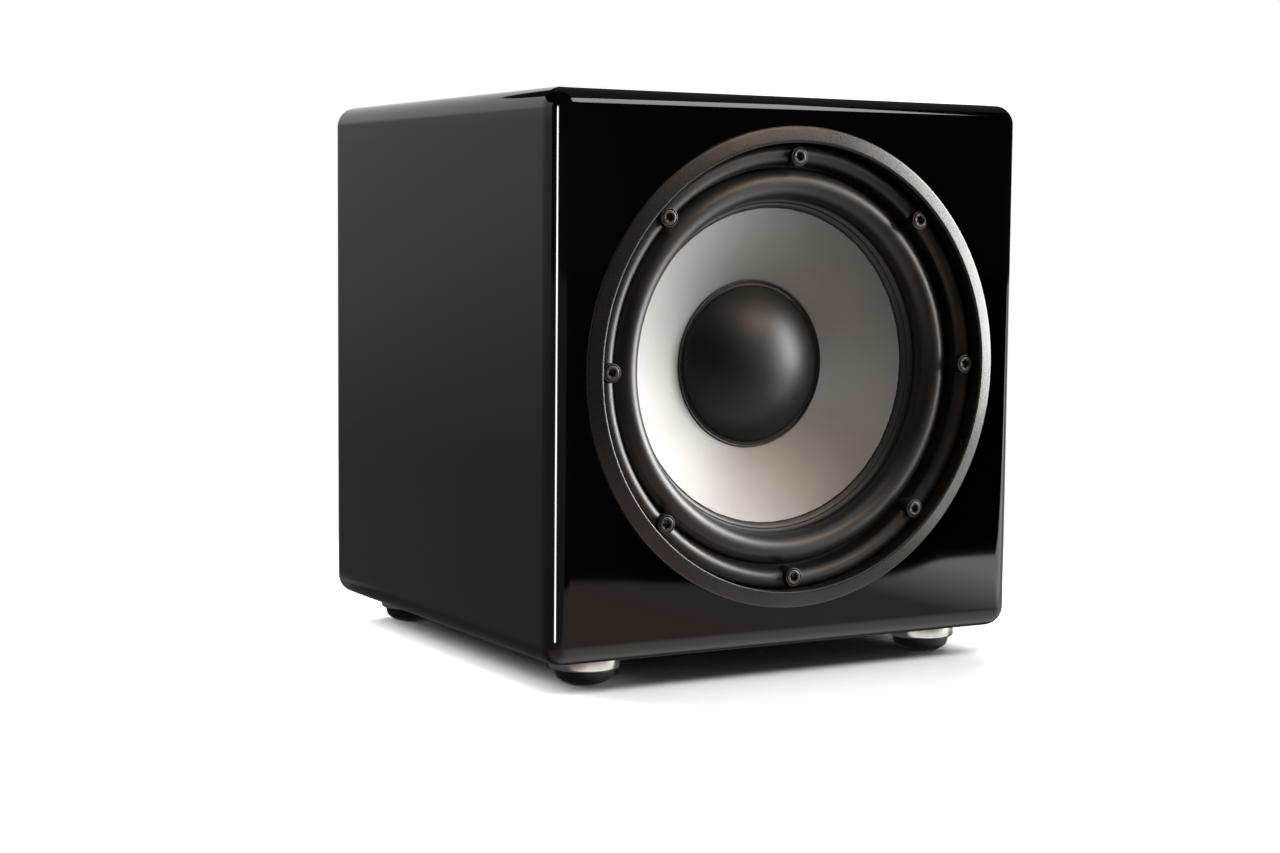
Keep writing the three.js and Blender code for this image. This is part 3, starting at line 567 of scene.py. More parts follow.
def gasket_grid():
    """The bead as rows of [radius, depth] carried round the axis, closer together beside each screw.

    Its front is half an ellipse over the profile; inside a collar it is pressed back to the head's seat.
    """
    t = np.linspace(0, math.pi, 44)
    arch = np.stack([141.2 - 6.1 * np.cos(t), 9.3 - 5.6 * np.sin(t)], -1)
    front = np.concatenate([[[133.8, 17.1], [134.0, 13.5]], arch, [[147.35, 13.5], [147.4, 17.1]]])
    step = 2 * math.pi / screw_count
    near = np.concatenate([np.linspace(-0.055, 0.055, 45), np.linspace(0.075, step - 0.075, 22)])
    a = (screw_angles[:, None] + near[None, :]).reshape(-1)
    radius, depth = front[:, :1] * mm, np.repeat(front[:, 1:] * mm, len(a), 1)
    x, z = radius * np.sin(a), radius * np.cos(a)
    heads_x, heads_z = screw_circle * np.sin(screw_angles), screw_circle * np.cos(screw_angles)
    apart = np.sqrt((x[..., None] - heads_x) ** 2 + (z[..., None] - heads_z) ** 2).min(-1)
    depth = np.where(apart < 5.75 * mm, np.maximum(depth, 7.1 * mm), depth)
    return np.stack([x, depth, z], -1) + driver_middle


gasket_rubber = finish("gasket_rubber", (0.009, 0.0085, 0.008), (0.015, 0.014, 0.013), rough=(0.38, 0.45),
                       cloud_size=0.02, grain_size=0.0006, depth=0.00002, Specular_IOR_Level=0.6)
dress(skin("gasket_bead", gasket_grid()), gasket_rubber, "cabinet", ["clamp_gasket"])
collar_cup = eased([[5.3, 7.0], [5.3, 1.4], [5.55, 0.95], [6.15, 1.0], [6.45, 2.0], [6.5, 9.5], [6.5, 13.6],
                    [5.3, 13.6]], [0.1, 0.2, 0.15, 0.3, 0.6, 1.5, 0.2, 0.2], 4)
for index, at in enumerate(screw_places):
    dress(turned(f"gasket_collar_{index + 1}", collar_cup, at, "y", steps=48), gasket_rubber, "cabinet",
          ["clamp_gasket"])

# ---- Driver screws ----
# Eight black socket-head screws clamp the gasket, surround and basket to the baffle. Each head is a short
# drum with a turned edge and a hexagon socket pressed into it.


def hexagon(radius, angle):
    """The radius of a hexagon with that flat-to-centre distance at each angle: the distance over cos of the
    angle left from the nearest flat's middle."""
    turn = (angle + math.pi / 6) % (math.pi / 3) - math.pi / 6
    return radius / np.cos(turn)


def socket_screw(name, at, twist):
    """A socket screw about an axis along y. Its rings are circles, but the socket's are hexagons turned by
    the twist."""
    a = np.linspace(0, 2 * math.pi, 48, endpoint=False)
    shape = eased([[0, 40], [2.2, 40], [3.0, 38.8], [3.0, 6.5], [5.0, 6.5], [5.0, 0.95], [4.55, 0.55],
                   [3.2, 0.5]], [0, 0.1, 0.2, 0.3, 0.15, 0.3, 0.2, 0], 3)
    drum_radius = np.repeat(shape[1:, :1], len(a), 1)
    drum_depth = np.repeat(shape[1:, 1:], len(a), 1)
    hexes = [(2.95, 0.55), (2.6, 0.95), (2.5, 1.2), (2.5, 4.0), (2.1, 4.15)]
    hex_radius = np.stack([hexagon(flat, a + twist) for flat, _ in hexes] + [a * 0])
    hex_depth = np.stack([np.full(len(a), depth) for _, depth in hexes] + [np.full(len(a), 4.7)])
    tip = np.zeros((1, len(a)))
    radius = np.concatenate([tip, drum_radius, hex_radius]) * mm
    depth = np.concatenate([tip + 40, drum_depth, hex_depth]) * mm
    return skin(name, np.stack([radius * np.cos(a), depth, radius * np.sin(a)], -1) + at, False, 28)


black_steel = finish("black_oxide_steel", (0.085, 0.083, 0.082), (0.17, 0.165, 0.16), rough=(0.42, 0.30),
                     cloud_size=0.003, grain_size=0.0003, depth=0.00001, detail=4.0, Metallic=0.85)
for index, at in enumerate(screw_places):
    dress(socket_screw(f"socket_screw_{index + 1}", at, twist=0.4 + 1.9 * index), black_steel, "cabinet",
          [f"driver_screw_{index + 1}"])

# ---- Surround ----
# One roll of moulded rubber lets the cone move. Its outer flange lies under the gasket, and its inner flange
# is glued to the front of the cone, with two fine grooves along the glue line.


def cone_front(radius):
    """The cone's front face in millimetres behind the baffle: 31.8 at a radius of 106, and 0.543 more for
    each millimetre towards the axis."""
    return 31.8 + (106 - np.asarray(radius, float)) * 0.543


def roll(half_width, height, points, start=0.07):
    """Half an ellipse from the outer foot to the inner foot. The inner foot lies 8 deeper, and the crest
    leans inwards by 4 times sin t."""
    t = np.linspace(start, math.pi - start, points)
    radius = 122.6 + half_width * np.cos(t) - 4 * np.sin(t)
    return np.stack([radius, 18 + 4 * (1 - np.cos(t)) - height * np.sin(t)], -1)


def surround_profile():
    """Front face inwards, over the roll and the stepped glue flange, then back outwards underneath."""
    top, under = roll(10, 12.5, 44), roll(8.8, 11.3, 32)[::-1]
    step_r = np.array([112.0, 110.2, 109.8, 109.4, 109.0, 107.6, 107.4, 107.0, 106.6, 106.3])
    step_up = np.array([1.75, 1.7, 1.6, 0.8, 1.5, 1.45, 1.4, 0.7, 0.75, 1.2])
    flange_front = np.stack([step_r, cone_front(step_r) - step_up], -1)
    flange_end = np.array([[106.0, cone_front(106.0) - 1.0], [106.0, cone_front(106.0) - 0.35],
                           [113.4, cone_front(113.4) - 0.4]])
    outer = np.array([[147.4, 18.6], [147.4, 17.4], [133.4, 17.4]])
    return np.concatenate([outer, top, flange_front, flange_end, under, [[132.6, 18.6]]])


def flexing(piece):
    """Bakes a ring-shaped piece's placing into its points and reads the points out into an array."""
    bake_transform(piece)
    co = np.empty(len(piece.data.vertices) * 3)
    piece.data.vertices.foreach_get("co", co)


def radius_from_axis(tree, place):
    """The distance from the driver's axis, in metres."""
    from_middle = add(tree, "ShaderNodeMapping", Vector=place, Location=tuple(-driver_middle))
    part = add(tree, "ShaderNodeSeparateXYZ", Vector=from_middle.outputs[0]).outputs
    flat = add(tree, "ShaderNodeCombineXYZ", X=part["X"], Z=part["Z"]).outputs[0]
    return add(tree, "ShaderNodeVectorMath", {"operation": "LENGTH"}, Vector=flat).outputs["Value"]


roll_rubber, tree, output, place = new_material("surround_rubber")
cloud = cloudy(tree, place, 0.03)
# The glue flange is painted a lighter grey: partly the rubber's own tone there, partly a painted sheen for
# the highlight that it catches.
glued = ramp(tree, radius_from_axis(tree, place), 0.1125, 0.1105)
rubber_tone = mixed(tree, cloud, (0.011, 0.010, 0.0095), (0.018, 0.0165, 0.0155))
flange_tone_and_sheen = mixed(tree, cloud, (0.050, 0.049, 0.048), (0.066, 0.064, 0.062))
surfaced(tree, output, mixed(tree, glued, rubber_tone, flange_tone_and_sheen), ramp(tree, cloud, 0, 1, 0.37, 0.43),
         grainy(tree, place, 0.0005), depth=0.000022, Specular_IOR_Level=0.75)
surround = turned("surround_roll", surround_profile(), driver_middle, "y", steps=420, crease=50)
surround.data.materials.append(roll_rubber)
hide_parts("surround")
flexing(surround)

# ---- Cone ----
# The cone is spun aluminium, 1.6 mm thick, blasted and anodised to a pale satin grey.
cone_metal, tree, output, place = new_material("anodised_cone")
spun = add(tree, "ShaderNodeTexNoise", {"noise_dimensions": "1D"}, W=radius_from_axis(tree, place),
           Scale=900.0, Detail=2.0)
sand, cloud = grainy(tree, place, 0.0004), cloudy(tree, place, 0.045)
relief = maths(tree, "ADD", maths(tree, "MULTIPLY", spun.outputs[0], 0.35), sand)
surfaced(tree, output, mixed(tree, cloud, (0.282, 0.275, 0.266), (0.312, 0.305, 0.296)),
         ramp(tree, sand, 0, 1, 0.50, 0.60), relief, depth=0.00004, Metallic=0.75)
cone_edge, neck_radius, cone_wall, neck_length = 113, 39, 1.6, 5
neck_front = cone_front(neck_radius)
cone_profile = eased([[cone_edge, cone_front(cone_edge)], [cone_edge, cone_front(cone_edge) + cone_wall],
                      [neck_radius + cone_wall, neck_front + cone_wall],
                      [neck_radius + cone_wall, neck_front + neck_length],
                      [neck_radius, neck_front + neck_length], [neck_radius, neck_front]],
                     [0.2, 0.2, 0.8, 0.2, 0.2, 0.2], 3)
cone = dress(turned("anodised_cone", cone_profile, driver_middle, "y", steps=256), cone_metal,
             "cone_assembly", ["cone"])
aimed_at(lamp_left, [cone], "INCLUDE")

# The glue that holds the surround shows as a thin uneven bead along its inner edge.
glue = finish("glue_bead", (0.012, 0.012, 0.012), (0.03, 0.03, 0.03), rough=(0.25, 0.5), cloud_size=0.008)


def glue_grid():
    """A half-round bead on the cone's face. Its width is 0.45 mm plus small sines of the angle that never
    repeat within the turn, so that its inner edge wanders."""
    a = np.linspace(0, 2 * math.pi, 720, endpoint=False)
    wander = 0.07 * np.sin(31 * a) + 0.06 * np.sin(57 * a + 1) + 0.05 * np.sin(113 * a + 2)
    inner = 105.5 + wander
    corners = [(105.98 + a * 0, 0.05), (105.98 + a * 0, -0.8), ((inner + 106) / 2, -0.62), (inner, -0.02),
               (inner + 0.1, 0.05)]
    grid = [np.stack([r * np.cos(a), cone_front(r) + lift, r * np.sin(a)], -1) for r, lift in corners]
    return np.stack(grid) * mm + driver_middle


dress(skin("glue_bead", glue_grid()), glue, "cone_assembly")

# ---- Dust cap ----
# A pressed dome with a satin black coat closes the middle of the cone. A flat rim with one fine groove is
# glued to the cone's face.
cap_coat = finish("cap_satin_black", (0.010, 0.0095, 0.009), (0.016, 0.015, 0.0145), rough=(0.36, 0.46),
                  cloud_size=0.025, grain_size=0.0005, depth=0.000025, by_grain=True, Specular_IOR_Level=0.55)
cap_radius, cap_rim_depth, cap_height, cap_thickness = 53.0, 57.2, 21.0, 1.0


def dome(radius, rim, top, points=40):
    """Part of a sphere through the rim and the top, as [radius, depth] from the middle outwards."""
    height = rim - top
    ball = (radius ** 2 + height ** 2) / (2 * height)
    t = np.linspace(0, math.asin(radius / ball), points)
    return np.stack([ball * np.sin(t), top + ball * (1 - np.cos(t))], -1)


rim_front = np.array([53.5, 54.3, 54.7, 55.1, 55.5, 56.2, 56.8])
rim_lift = np.array([1.75, 1.45, 1.4, 0.9, 1.45, 1.4, 1.1])
cap_rim = np.stack([rim_front, cone_front(rim_front) - rim_lift], -1)
cap_foot = np.array([[56.8, cone_front(56.8) - 0.3]])
cap_front = dome(cap_radius, cap_rim_depth, cap_rim_depth - cap_height)
cap_back = dome(cap_radius - cap_thickness, cap_rim_depth + cap_thickness,
                cap_rim_depth - cap_height + cap_thickness)[::-1]
cap_profile = np.concatenate([cap_front, cap_rim, cap_foot, cap_back])
dress(turned("dust_cap_dome", cap_profile, driver_middle, "y", steps=192, loop=False, crease=60), cap_coat,
      "cone_assembly", ["dust_cap"])

# ---- Voice coil and spider ----
# Copper wire is wound on an aluminium former glued into the cone's neck. The spider keeps the coil in the
# middle of the magnet's gap. It is a disc of resin-stiffened cotton pressed into waves.
recoat("coil_former", finish("coil_former_aluminium", (0.52, 0.52, 0.53), (0.66, 0.66, 0.67),
                             rough=(0.3, 0.45), cloud_size=0.01, grain_size=0.0003, depth=0.00001,
                             Metallic=1.0))


def banded(name, dark, light, rough, axis, pitch, depth, metallic=0.0):
    """A finish of fine even bands along one axis, such as turns of wire. A sine of the distance along it
    gives both the tone and the relief."""
    made, tree, output, place = new_material(name)
    along = add(tree, "ShaderNodeSeparateXYZ", Vector=place).outputs[axis]
    wave = maths(tree, "SINE", maths(tree, "MULTIPLY", along, 2 * math.pi / pitch))
    height = ramp(tree, wave, -1, 1)
    rub = cloudy(tree, place, 0.01, detail=2.0)
    surfaced(tree, output, mixed(tree, height, dark, light), ramp(tree, rub, 0, 1, *rough), height, depth,
             Metallic=metallic)
    return made


recoat("voice_coil", banded("enamelled_copper", (0.20, 0.045, 0.018), (0.60, 0.20, 0.09), (0.22, 0.35), "Y",
                            pitch=0.0006, depth=0.0002, metallic=1.0))


def spider_profile():
    """The front face from the coil outwards and the back face inwards.

    Between radii 43 and 76 both carry a sine of the radius, 1.8 high with a pitch of 6.6, times the square
    root of half a sine wave over that stretch, which flattens it at both ends.
    """
    r = np.linspace(39, 80, 120)
    share = np.clip((r - 43) / 33, 0, 1)
    inside = (share > 0) * (share < 1)
    wave = 1.8 * np.sin(2 * math.pi * (r - 43) / 6.6) * np.sin(math.pi * share) ** 0.5 * inside
    return np.concatenate([np.stack([r, 87.8 + wave], -1), np.stack([r, 88.2 + wave], -1)[::-1]])


spider_cloth, tree, output, place = new_material("spider_cloth")
weave_size = 0.0007
part = add(tree, "ShaderNodeSeparateXYZ", Vector=place).outputs
warp, weft = (maths(tree, "SINE", maths(tree, "MULTIPLY", part[axis], 2 * math.pi / weave_size))
              for axis in "XZ")
weave = ramp(tree, maths(tree, "MULTIPLY", warp, weft), -1, 1)
surfaced(tree, output, mixed(tree, weave, (0.30, 0.17, 0.06), (0.52, 0.33, 0.14)),
         ramp(tree, weave, 0, 1, 0.95, 0.75), weave, depth=0.0002)
spider = turned("pressed_spider", spider_profile(), driver_middle, "y", steps=144, crease=60)
spider.data.materials.append(spider_cloth)
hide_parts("spider")
flexing(spider)

# ---- Motor ----
# A ferrite ring is glued between a top plate and a yoke with the pole, both zinc-plated steel. A rubber boot
# covers the magnet, and a moulded strip on the basket carries the lead's two terminals.


def eased_copy(name, node, width, segments=2):
    """The CAD node's mesh, with its loose triangles joined, its flats made whole and its corners bevelled."""
    mesh = nodes[node].data.copy()
    mesh.name = name
    work = bmesh.new()
    work.from_mesh(mesh)
    bmesh.ops.remove_doubles(work, verts=work.verts, dist=1e-6)
    bmesh.ops.dissolve_limit(work, angle_limit=math.radians(1), verts=work.verts, edges=work.edges)
    work.to_mesh(mesh)
    work.free()
    mesh.materials.clear()
    mesh.polygons.foreach_set("use_smooth", np.ones(len(mesh.polygons), bool))
    mesh.set_sharp_from_angle(angle=math.radians(32))
    made = shown(name, mesh)
    bevel = made.modifiers.new("eased", "BEVEL")
    bevel.width, bevel.segments = width, segments
    bevel.limit_method, bevel.angle_limit = "ANGLE", math.radians(32)
    bevel.harden_normals = True
    return made


plated = finish("zinc_plated_steel", (0.42, 0.42, 0.44), (0.60, 0.60, 0.61), rough=(0.28, 0.42),
                cloud_size=0.02, grain_size=0.0004, depth=0.00001, Metallic=1.0)
ferrite = finish("ferrite", (0.020, 0.020, 0.022), (0.05, 0.05, 0.052), rough=(0.55, 0.75), cloud_size=0.012,
                 grain_size=0.0008, depth=0.00006)
moulding = finish("black_moulding", (0.013, 0.013, 0.014), (0.024, 0.024, 0.025), rough=(0.36, 0.5),
                  cloud_size=0.015, grain_size=0.0004, depth=0.00003)
for node, material, slot in (("top_plate", plated, "zinc_steel"), ("magnet", ferrite, "ferrite"),
                             ("yoke", plated, "zinc_steel"), ("magnet_boot", foot_rubber, "gasket_rubber"),
                             ("driver_terminal", moulding, "black_moulding")):
    dress(eased_copy(f"{node}_eased", node, 0.8 * mm), material, "cabinet", [node])

# ---- Doubler, brace and wadding ----
# A second board behind the baffle takes the driver's screws, and a frame with a window ties the four sides
# together. Both are bare fibreboard. A polyester pad is stapled to each side wall.
board, tree, output, place = new_material("fibreboard")
fibres = add(tree, "ShaderNodeTexNoise", Vector=place, Scale=900.0, Detail=4.0, Roughness=0.7).outputs[0]
fibre_tone = mixed(tree, fibres, (0.20, 0.125, 0.07), (0.40, 0.28, 0.17))
board_tone = mixed(tree, cloudy(tree, place, 0.02, detail=4.0), fibre_tone, (0.31, 0.21, 0.125))
surfaced(tree, output, board_tone, ramp(tree, fibres, 0, 1, 0.8, 0.95), fibres, depth=0.0002)
recoat("baffle_doubler", board)
dress(eased_copy("brace_eased", "window_brace", 1.0 * mm), board, "cabinet", ["window_brace"])

fleece, tree, output, place = new_material("polyester_fleece")
tufts = add(tree, "ShaderNodeTexNoise", Vector=place, Scale=260.0, Detail=6.0, Roughness=0.75,
            Distortion=1.2).outputs[0]
surfaced(tree, output, mixed(tree, tufts, (0.50, 0.50, 0.48), (0.86, 0.86, 0.83)),
         ramp(tree, tufts, 0, 1, 1.0, 0.85), tufts, depth=0.0015, Sheen_Weight=0.5, Sheen_Roughness=0.6)


def pad_grid(low, high, wall_side):
    """A crowned pad that lies flat on its wall.

    Rings of a rounded rectangle shrink towards the middle of both faces. The thickness at a share s from the
    edge to the middle is the full one times (1 - (1 - s)^3). Slow sines of the place dent it by a tenth, and
    round each of four staples it falls by 0.42 of itself times exp(-(gap / 12 mm)^2).
    """
    low, high = np.array(low), np.array(high)
    middle_point, half = (low + high) / 2, (high - low) / 2
    share = np.linspace(0, 1, 36) ** 1.5
    staples = [(y * half[1], z * half[2]) for y in (-0.5, 0.5) for z in (-0.6, 0.6)]
    rings = []
    for shares, thick in ((share[::-1], 1), (share[1:], 0)):
        for s in shares:
            left_over = 1 - 0.98 * s
            y, z = outline(half[1] * left_over, half[2] * left_over, 0.02 * left_over, 24, 8).T
            rise = (1 - (1 - s) ** 3) * (0.90 + 0.05 * np.sin(55 * y + 1) + 0.05 * np.sin(41 * z + 2 * y))
            for staple_y, staple_z in staples:
                rise = rise - 0.42 * rise * np.exp(-(np.hypot(y - staple_y, z - staple_z) / 0.012) ** 2)
            x = wall_side * half[0] * (1 - 2 * rise * thick)
            rings.append(np.stack([x, y, z], -1) + middle_point)
    return np.stack(rings)


for side, wall_side in (("left", -1), ("right", 1)):
    low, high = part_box(f"wadding_{side}")
    pad = skin(f"fleece_pad_{side}", pad_grid(low, high, wall_side), False, 80)
    dress(pad, fleece, "cabinet", [f"wadding_{side}"])

# ---- Amplifier plate ----
# A flat steel plate, powder coated black, closes the back on a foam seal. Twelve button-head screws hold
# it, and an extruded heat sink is bolted to its upper half.
amp_middle_z = cabinet_middle[2]


def on_amp(points):
    """Points of [right, up, out] in millimetres, as seen from behind, carried to the cabinet's back."""
    points = np.asarray(points, float) * mm
    return np.stack([-points[..., 0], points[..., 2] + back_y, points[..., 1] + amp_middle_z], -1)


def spun_on_amp(name, profile, right, up, steps=64, flute=0.0, flutes=0, crease=35, loop=False):
    """A full turn of [radius, out] about an axis that stands on the plate. Flutes take their depth times
    (0.5 + 0.5 cos(flutes a))^3 off every radius over 80% of the largest."""
    profile = np.array(profile, float)
    a = np.linspace(0, 2 * math.pi, steps, endpoint=False)[None, :]
    radius, out = np.repeat(profile[:, :1], steps, 1), np.repeat(profile[:, 1:], steps, 1)
    if flutes:
        edge = (radius > 0.8 * profile[:, 0].max()) * 1.0
        radius = radius - flute * edge * (0.5 + 0.5 * np.cos(flutes * a)) ** 3
    grid = np.stack([right + radius * np.cos(a), up + radius * np.sin(a), out], -1)
    return skin(name, on_amp(grid), loop, crease)


recoat("amp_plate", finish("amp_powder_coat", (0.024, 0.024, 0.025), (0.034, 0.034, 0.035),
                           rough=(0.42, 0.55), cloud_size=0.04, grain_size=0.0011, depth=0.00012,
                           by_grain=True))
anodised = finish("black_anodised_fins", (0.035, 0.035, 0.037), (0.055, 0.055, 0.058), rough=(0.32, 0.45),
                  cloud_size=0.02, grain_size=0.0003, depth=0.00001, Metallic=0.6)
dress(eased_copy("heat_sink_fins", "heat_sink", 0.5 * mm), anodised, "cabinet", ["heat_sink"])


def button_screw(name, right, up, twist, head=3.6):
    """A domed head with a hexagon socket, as rings of [radius, out]: the dome's are circles, its radius the
    head's times cos t and its height 1.9 times sin t, and the socket's are hexagons."""
    steps, under, rim = 36, 5.15, 5.3
    a = np.linspace(0, 2 * math.pi, steps, endpoint=False)
    t = np.linspace(0, 1.1, 7)
    dome_out = rim + 1.9 * np.sin(t)
    top = dome_out[-1]
    circles = [(0, under), (head, under), *zip(head * np.cos(t), dome_out)]
    hexagons = [(1.35, top - 0.05), (1.2, top - 0.3), (1.15, 5.6), (0.0, 5.4)]
    radius = np.stack([np.full(steps, r) for r, _ in circles]
                      + [hexagon(flat, a + twist) for flat, _ in hexagons])
    out = np.repeat(np.array([level for _, level in circles + hexagons])[:, None], steps, 1)
    grid = np.stack([right + radius * np.cos(a), up + radius * np.sin(a), out], -1)
    return skin(name, on_amp(grid), loop=False, crease=30)


plate_pins = [(x, y) for x in (-118, -39.5, 39.5, 118) for y in (-118, 118)]
plate_pins += [(x, y) for x in (-118, 118) for y in (-39.5, 39.5)]
for index, (right, up) in enumerate(plate_pins):
    dress(button_screw(f"plate_screw_{index + 1}", right, up, twist=1.3 * index), black_steel, "cabinet")

# ---- Rotary controls ----
# Three potentiometers with moulded knobs set the level, the crossover and the phase. Each knob has a skirt, a
# fluted grip and a white pointer, and a scale of eleven printed ticks stands round it.
pot_metal = finish("pot_metal", (0.40, 0.40, 0.41), (0.56, 0.56, 0.57), rough=(0.3, 0.45), cloud_size=0.008,
                   grain_size=0.0003, depth=0.00001, Metallic=1.0)
white_print = finish("white_print", (0.66, 0.66, 0.64), (0.80, 0.80, 0.78), rough=(0.45, 0.6),
                     cloud_size=0.002)
knob_profile = eased([[0, 8.7], [4.7, 8.7], [4.7, 5.7], [10.9, 5.7], [10.9, 7.4], [9.6, 8.6], [9.0, 9.4],
                      [8.8, 17.6], [8.0, 18.9], [6.6, 18.9], [6.2, 18.5], [0, 18.5]],
                     [0, 0.1, 0.1, 0.3, 0.6, 0.3, 0.5, 0.5, 0.6, 0.2, 0.2, 0], 3)


def bars(name, centres, lengths, widths, turns, low, high):
    """Flat bars on the plate, each given by its middle, length, width and turn; all their corners come from
    one array of signs."""
    signs = np.array([[x, y, level] for level in (0, 1) for x, y in ((-1, -1), (1, -1), (1, 1), (-1, 1))])
    centres, turns = np.asarray(centres, float), np.asarray(turns, float)
    lengths, widths = (np.broadcast_to(value, len(centres)) for value in (lengths, widths))
    along, across = signs[None, :, 0] * lengths[:, None] / 2, signs[None, :, 1] * widths[:, None] / 2
    cos, sin = np.cos(turns)[:, None], np.sin(turns)[:, None]
    points = np.stack([centres[:, :1] + along * cos - across * sin,
                       centres[:, 1:2] + along * sin + across * cos,
                       np.broadcast_to(low + (high - low) * signs[None, :, 2], along.shape)], -1)
    sides = np.array([[0, 3, 2, 1], [4, 5, 6, 7], [0, 1, 5, 4], [1, 2, 6, 5], [2, 3, 7, 6], [3, 0, 4, 7]])
    faces = (sides[None] + 8 * np.arange(len(centres))[:, None, None]).reshape(-1, 4)[:, ::-1]
    mesh = bpy.data.meshes.new(name)
    mesh.from_pydata(on_amp(points).reshape(-1, 3).tolist(), [], faces.tolist())
    work = bmesh.new()
    work.from_mesh(mesh)
    bmesh.ops.recalc_face_normals(work, faces=work.faces)
    work.to_mesh(mesh)
    work.free()
    return shown(name, mesh)


knob_up, tick_circle, pointer_circle = 5, 15.2, 4.6
ticks = np.radians(np.linspace(-150, 150, 11) + 90)
tick_lengths = [4.0 if index % 5 == 0 else 2.6 for index in range(11)]
for control, right in (("volume", -75), ("crossover", -15), ("phase", 45)):
    recoat(f"{control}_pot", pot_metal)
    knob = spun_on_amp(f"{control}_fluted_knob", knob_profile, right, knob_up, 144, flute=0.55, flutes=18)
    dress(knob, moulding, f"{control}_control", [f"{control}_knob"])
    pointer = bars(f"{control}_pointer", [(right, knob_up + pointer_circle)], 7.2, 1.3, [math.pi / 2],
                   18.4, 19.5)
    dress(pointer, white_print, f"{control}_control")
    spots = np.stack([right + tick_circle * np.cos(ticks), knob_up + tick_circle * np.sin(ticks)], -1)
    dress(bars(f"{control}_scale", spots, tick_lengths, 0.6, ticks, 5.12, 5.2), white_print, "cabinet")

# ---- Mains switch, mode switch and mains inlet ----
# Moulded black housings snap into cut-outs in the plate. The rocker tips in a bezel, and the inlet has three
# nickel blades and a fuse drawer above its socket.
for node, body, slot, width in (("power_switch_frame", "cabinet", "black_moulding", 0.5),
                                ("power_rocker", "rocker", "black_moulding", 0.5),
                                ("mode_switch_body", "cabinet", "black_moulding", 0.25),
                                ("mode_lever", "mode_selector", "black_moulding", 0.3),
                                ("power_inlet", "cabinet", "black_moulding", 0.4),
                                ("fuse_drawer", "fuse_tray", "black_moulding", 0.25)):
    dress(eased_copy(f"{node}_eased", node, width * mm), moulding, body, [node])
nickel = finish("nickel_plate", (0.52, 0.50, 0.47), (0.66, 0.64, 0.60), rough=(0.2, 0.34), cloud_size=0.004,
                grain_size=0.0003, depth=0.000008, Metallic=1.0)
inlet_right, inlet_up = -75, -83
blade_root, blade_tip = -11.9, 1.05
blade_spots = [(inlet_right + right, inlet_up - down) for right, down in ((-7, 7.5), (7, 7.5), (0, 3.3))]
dress(bars("inlet_blades", blade_spots, 4.1, 2.1, [math.pi / 2] * 3, blade_root, blade_tip), nickel,
      "cabinet")

# ---- Signal jacks ----
# Four gold-plated jacks stand in two rows on a moulded block. A red or a white insulating ring under each one
# tells the right channel from the left.
dress(eased_copy("jack_block", "signal_jacks", 0.3 * mm), moulding, "cabinet",
      ["signal_jacks"])
gold = finish("gold_plate", (0.60, 0.38, 0.11), (0.78, 0.53, 0.20), rough=(0.2, 0.33), cloud_size=0.003,
              grain_size=0.0003, depth=0.000008, Metallic=1.0)
ring_red = finish("jack_ring_red", (0.34, 0.012, 0.010), (0.46, 0.020, 0.015), rough=(0.32, 0.45),
                  cloud_size=0.003, grain_size=0.0003, depth=0.00001)
ring_white = finish("jack_ring_white", (0.62, 0.62, 0.60), (0.74, 0.74, 0.72), rough=(0.32, 0.45),
                    cloud_size=0.003, grain_size=0.0003, depth=0.00001)
barrel_profile = eased([[1.65, 7.6], [4.35, 7.6], [4.35, 16.1], [1.65, 16.1]], [0.1, 0.1, 0.7, 0.4], 4)
washer_profile = eased([[4.3, 7.3], [5.9, 7.3], [5.9, 8.7], [4.3, 8.7]], [0.1, 0.1, 0.4, 0.2], 3)
for column, right in enumerate((-26, -4)):
    for row, up in enumerate((-91, -69)):
        label = f"{('left', 'right')[column]}_{row + 1}"
        dress(spun_on_amp(f"jack_barrel_{label}", barrel_profile, right, up, steps=48, loop=True), gold,
              "cabinet")
        dress(spun_on_amp(f"jack_ring_{label}", washer_profile, right, up, steps=48, loop=True),
              (ring_white, ring_red)[column], "cabinet")

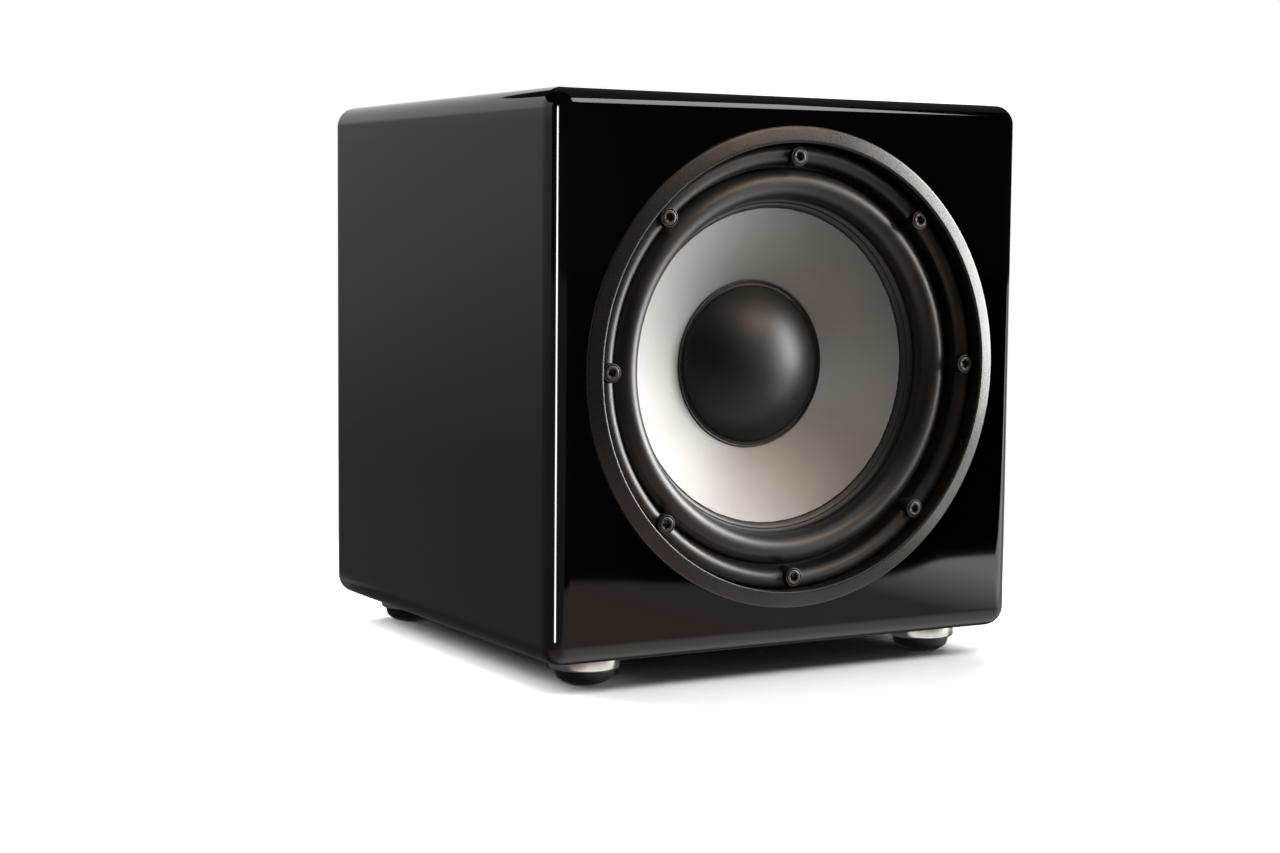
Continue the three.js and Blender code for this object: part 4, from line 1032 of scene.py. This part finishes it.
# ---- Status lamp ----
# A blue lens is pressed into the plate and glows to show the amplifier's state.
lens, tree, output, place = new_material("lamp_lens_blue")
facet = cloudy(tree, place, 0.0012, detail=2.0)
surfaced(tree, output, mixed(tree, facet, (0.02, 0.08, 0.40), (0.05, 0.16, 0.62)),
         ramp(tree, facet, 0, 1, 0.12, 0.22), Emission_Strength=1.4,
         Emission_Color=mixed(tree, facet, (0.02, 0.12, 0.75), (0.10, 0.34, 1.0)))
recoat("status_lamp", lens)

# ---- Amplifier board, transformer and speaker lead ----
# A glass-fibre board stands off the plate, and a ring-core transformer wrapped in film sits below it.
# A jacketed pair runs from the board to the driver's terminals.
laminate, tree, output, place = new_material("board_laminate")
tracks = add(tree, "ShaderNodeTexVoronoi", {"distance": "MANHATTAN", "feature": "DISTANCE_TO_EDGE"},
             Vector=place, Scale=170.0)
etched = ramp(tree, tracks.outputs["Distance"], 0.05, 0.08)
green = mixed(tree, cloudy(tree, place, 0.02, detail=2.0), (0.008, 0.075, 0.030), (0.014, 0.11, 0.045))
surfaced(tree, output, mixed(tree, etched, (0.030, 0.19, 0.07), green), ramp(tree, etched, 0, 1, 0.28, 0.4),
         etched, depth=-0.00003)
recoat("circuit_board", laminate)

film, tree, output, place = new_material("transformer_film")
core_middle, laps = np.array([-0.062, 0.0, amp_middle_z - 0.060]), 46.0
core = add(tree, "ShaderNodeMapping", Vector=place, Location=tuple(-core_middle))
around = add(tree, "ShaderNodeSeparateXYZ", Vector=core.outputs[0]).outputs
turn = maths(tree, "ARCTAN2", around["Z"], around["X"])
lap = ramp(tree, maths(tree, "SINE", maths(tree, "MULTIPLY", turn, laps)), -1, 1)
surfaced(tree, output, mixed(tree, lap, (0.42, 0.27, 0.035), (0.66, 0.47, 0.09)),
         ramp(tree, lap, 0, 1, 0.25, 0.4), lap, depth=0.0002, Coat_Weight=0.4, Coat_Roughness=0.15)
recoat("transformer", film)
recoat("speaker_lead", banded("lead_jacket", (0.012, 0.012, 0.013), (0.030, 0.030, 0.032), (0.4, 0.55), "X",
                              pitch=0.002, depth=0.00008))
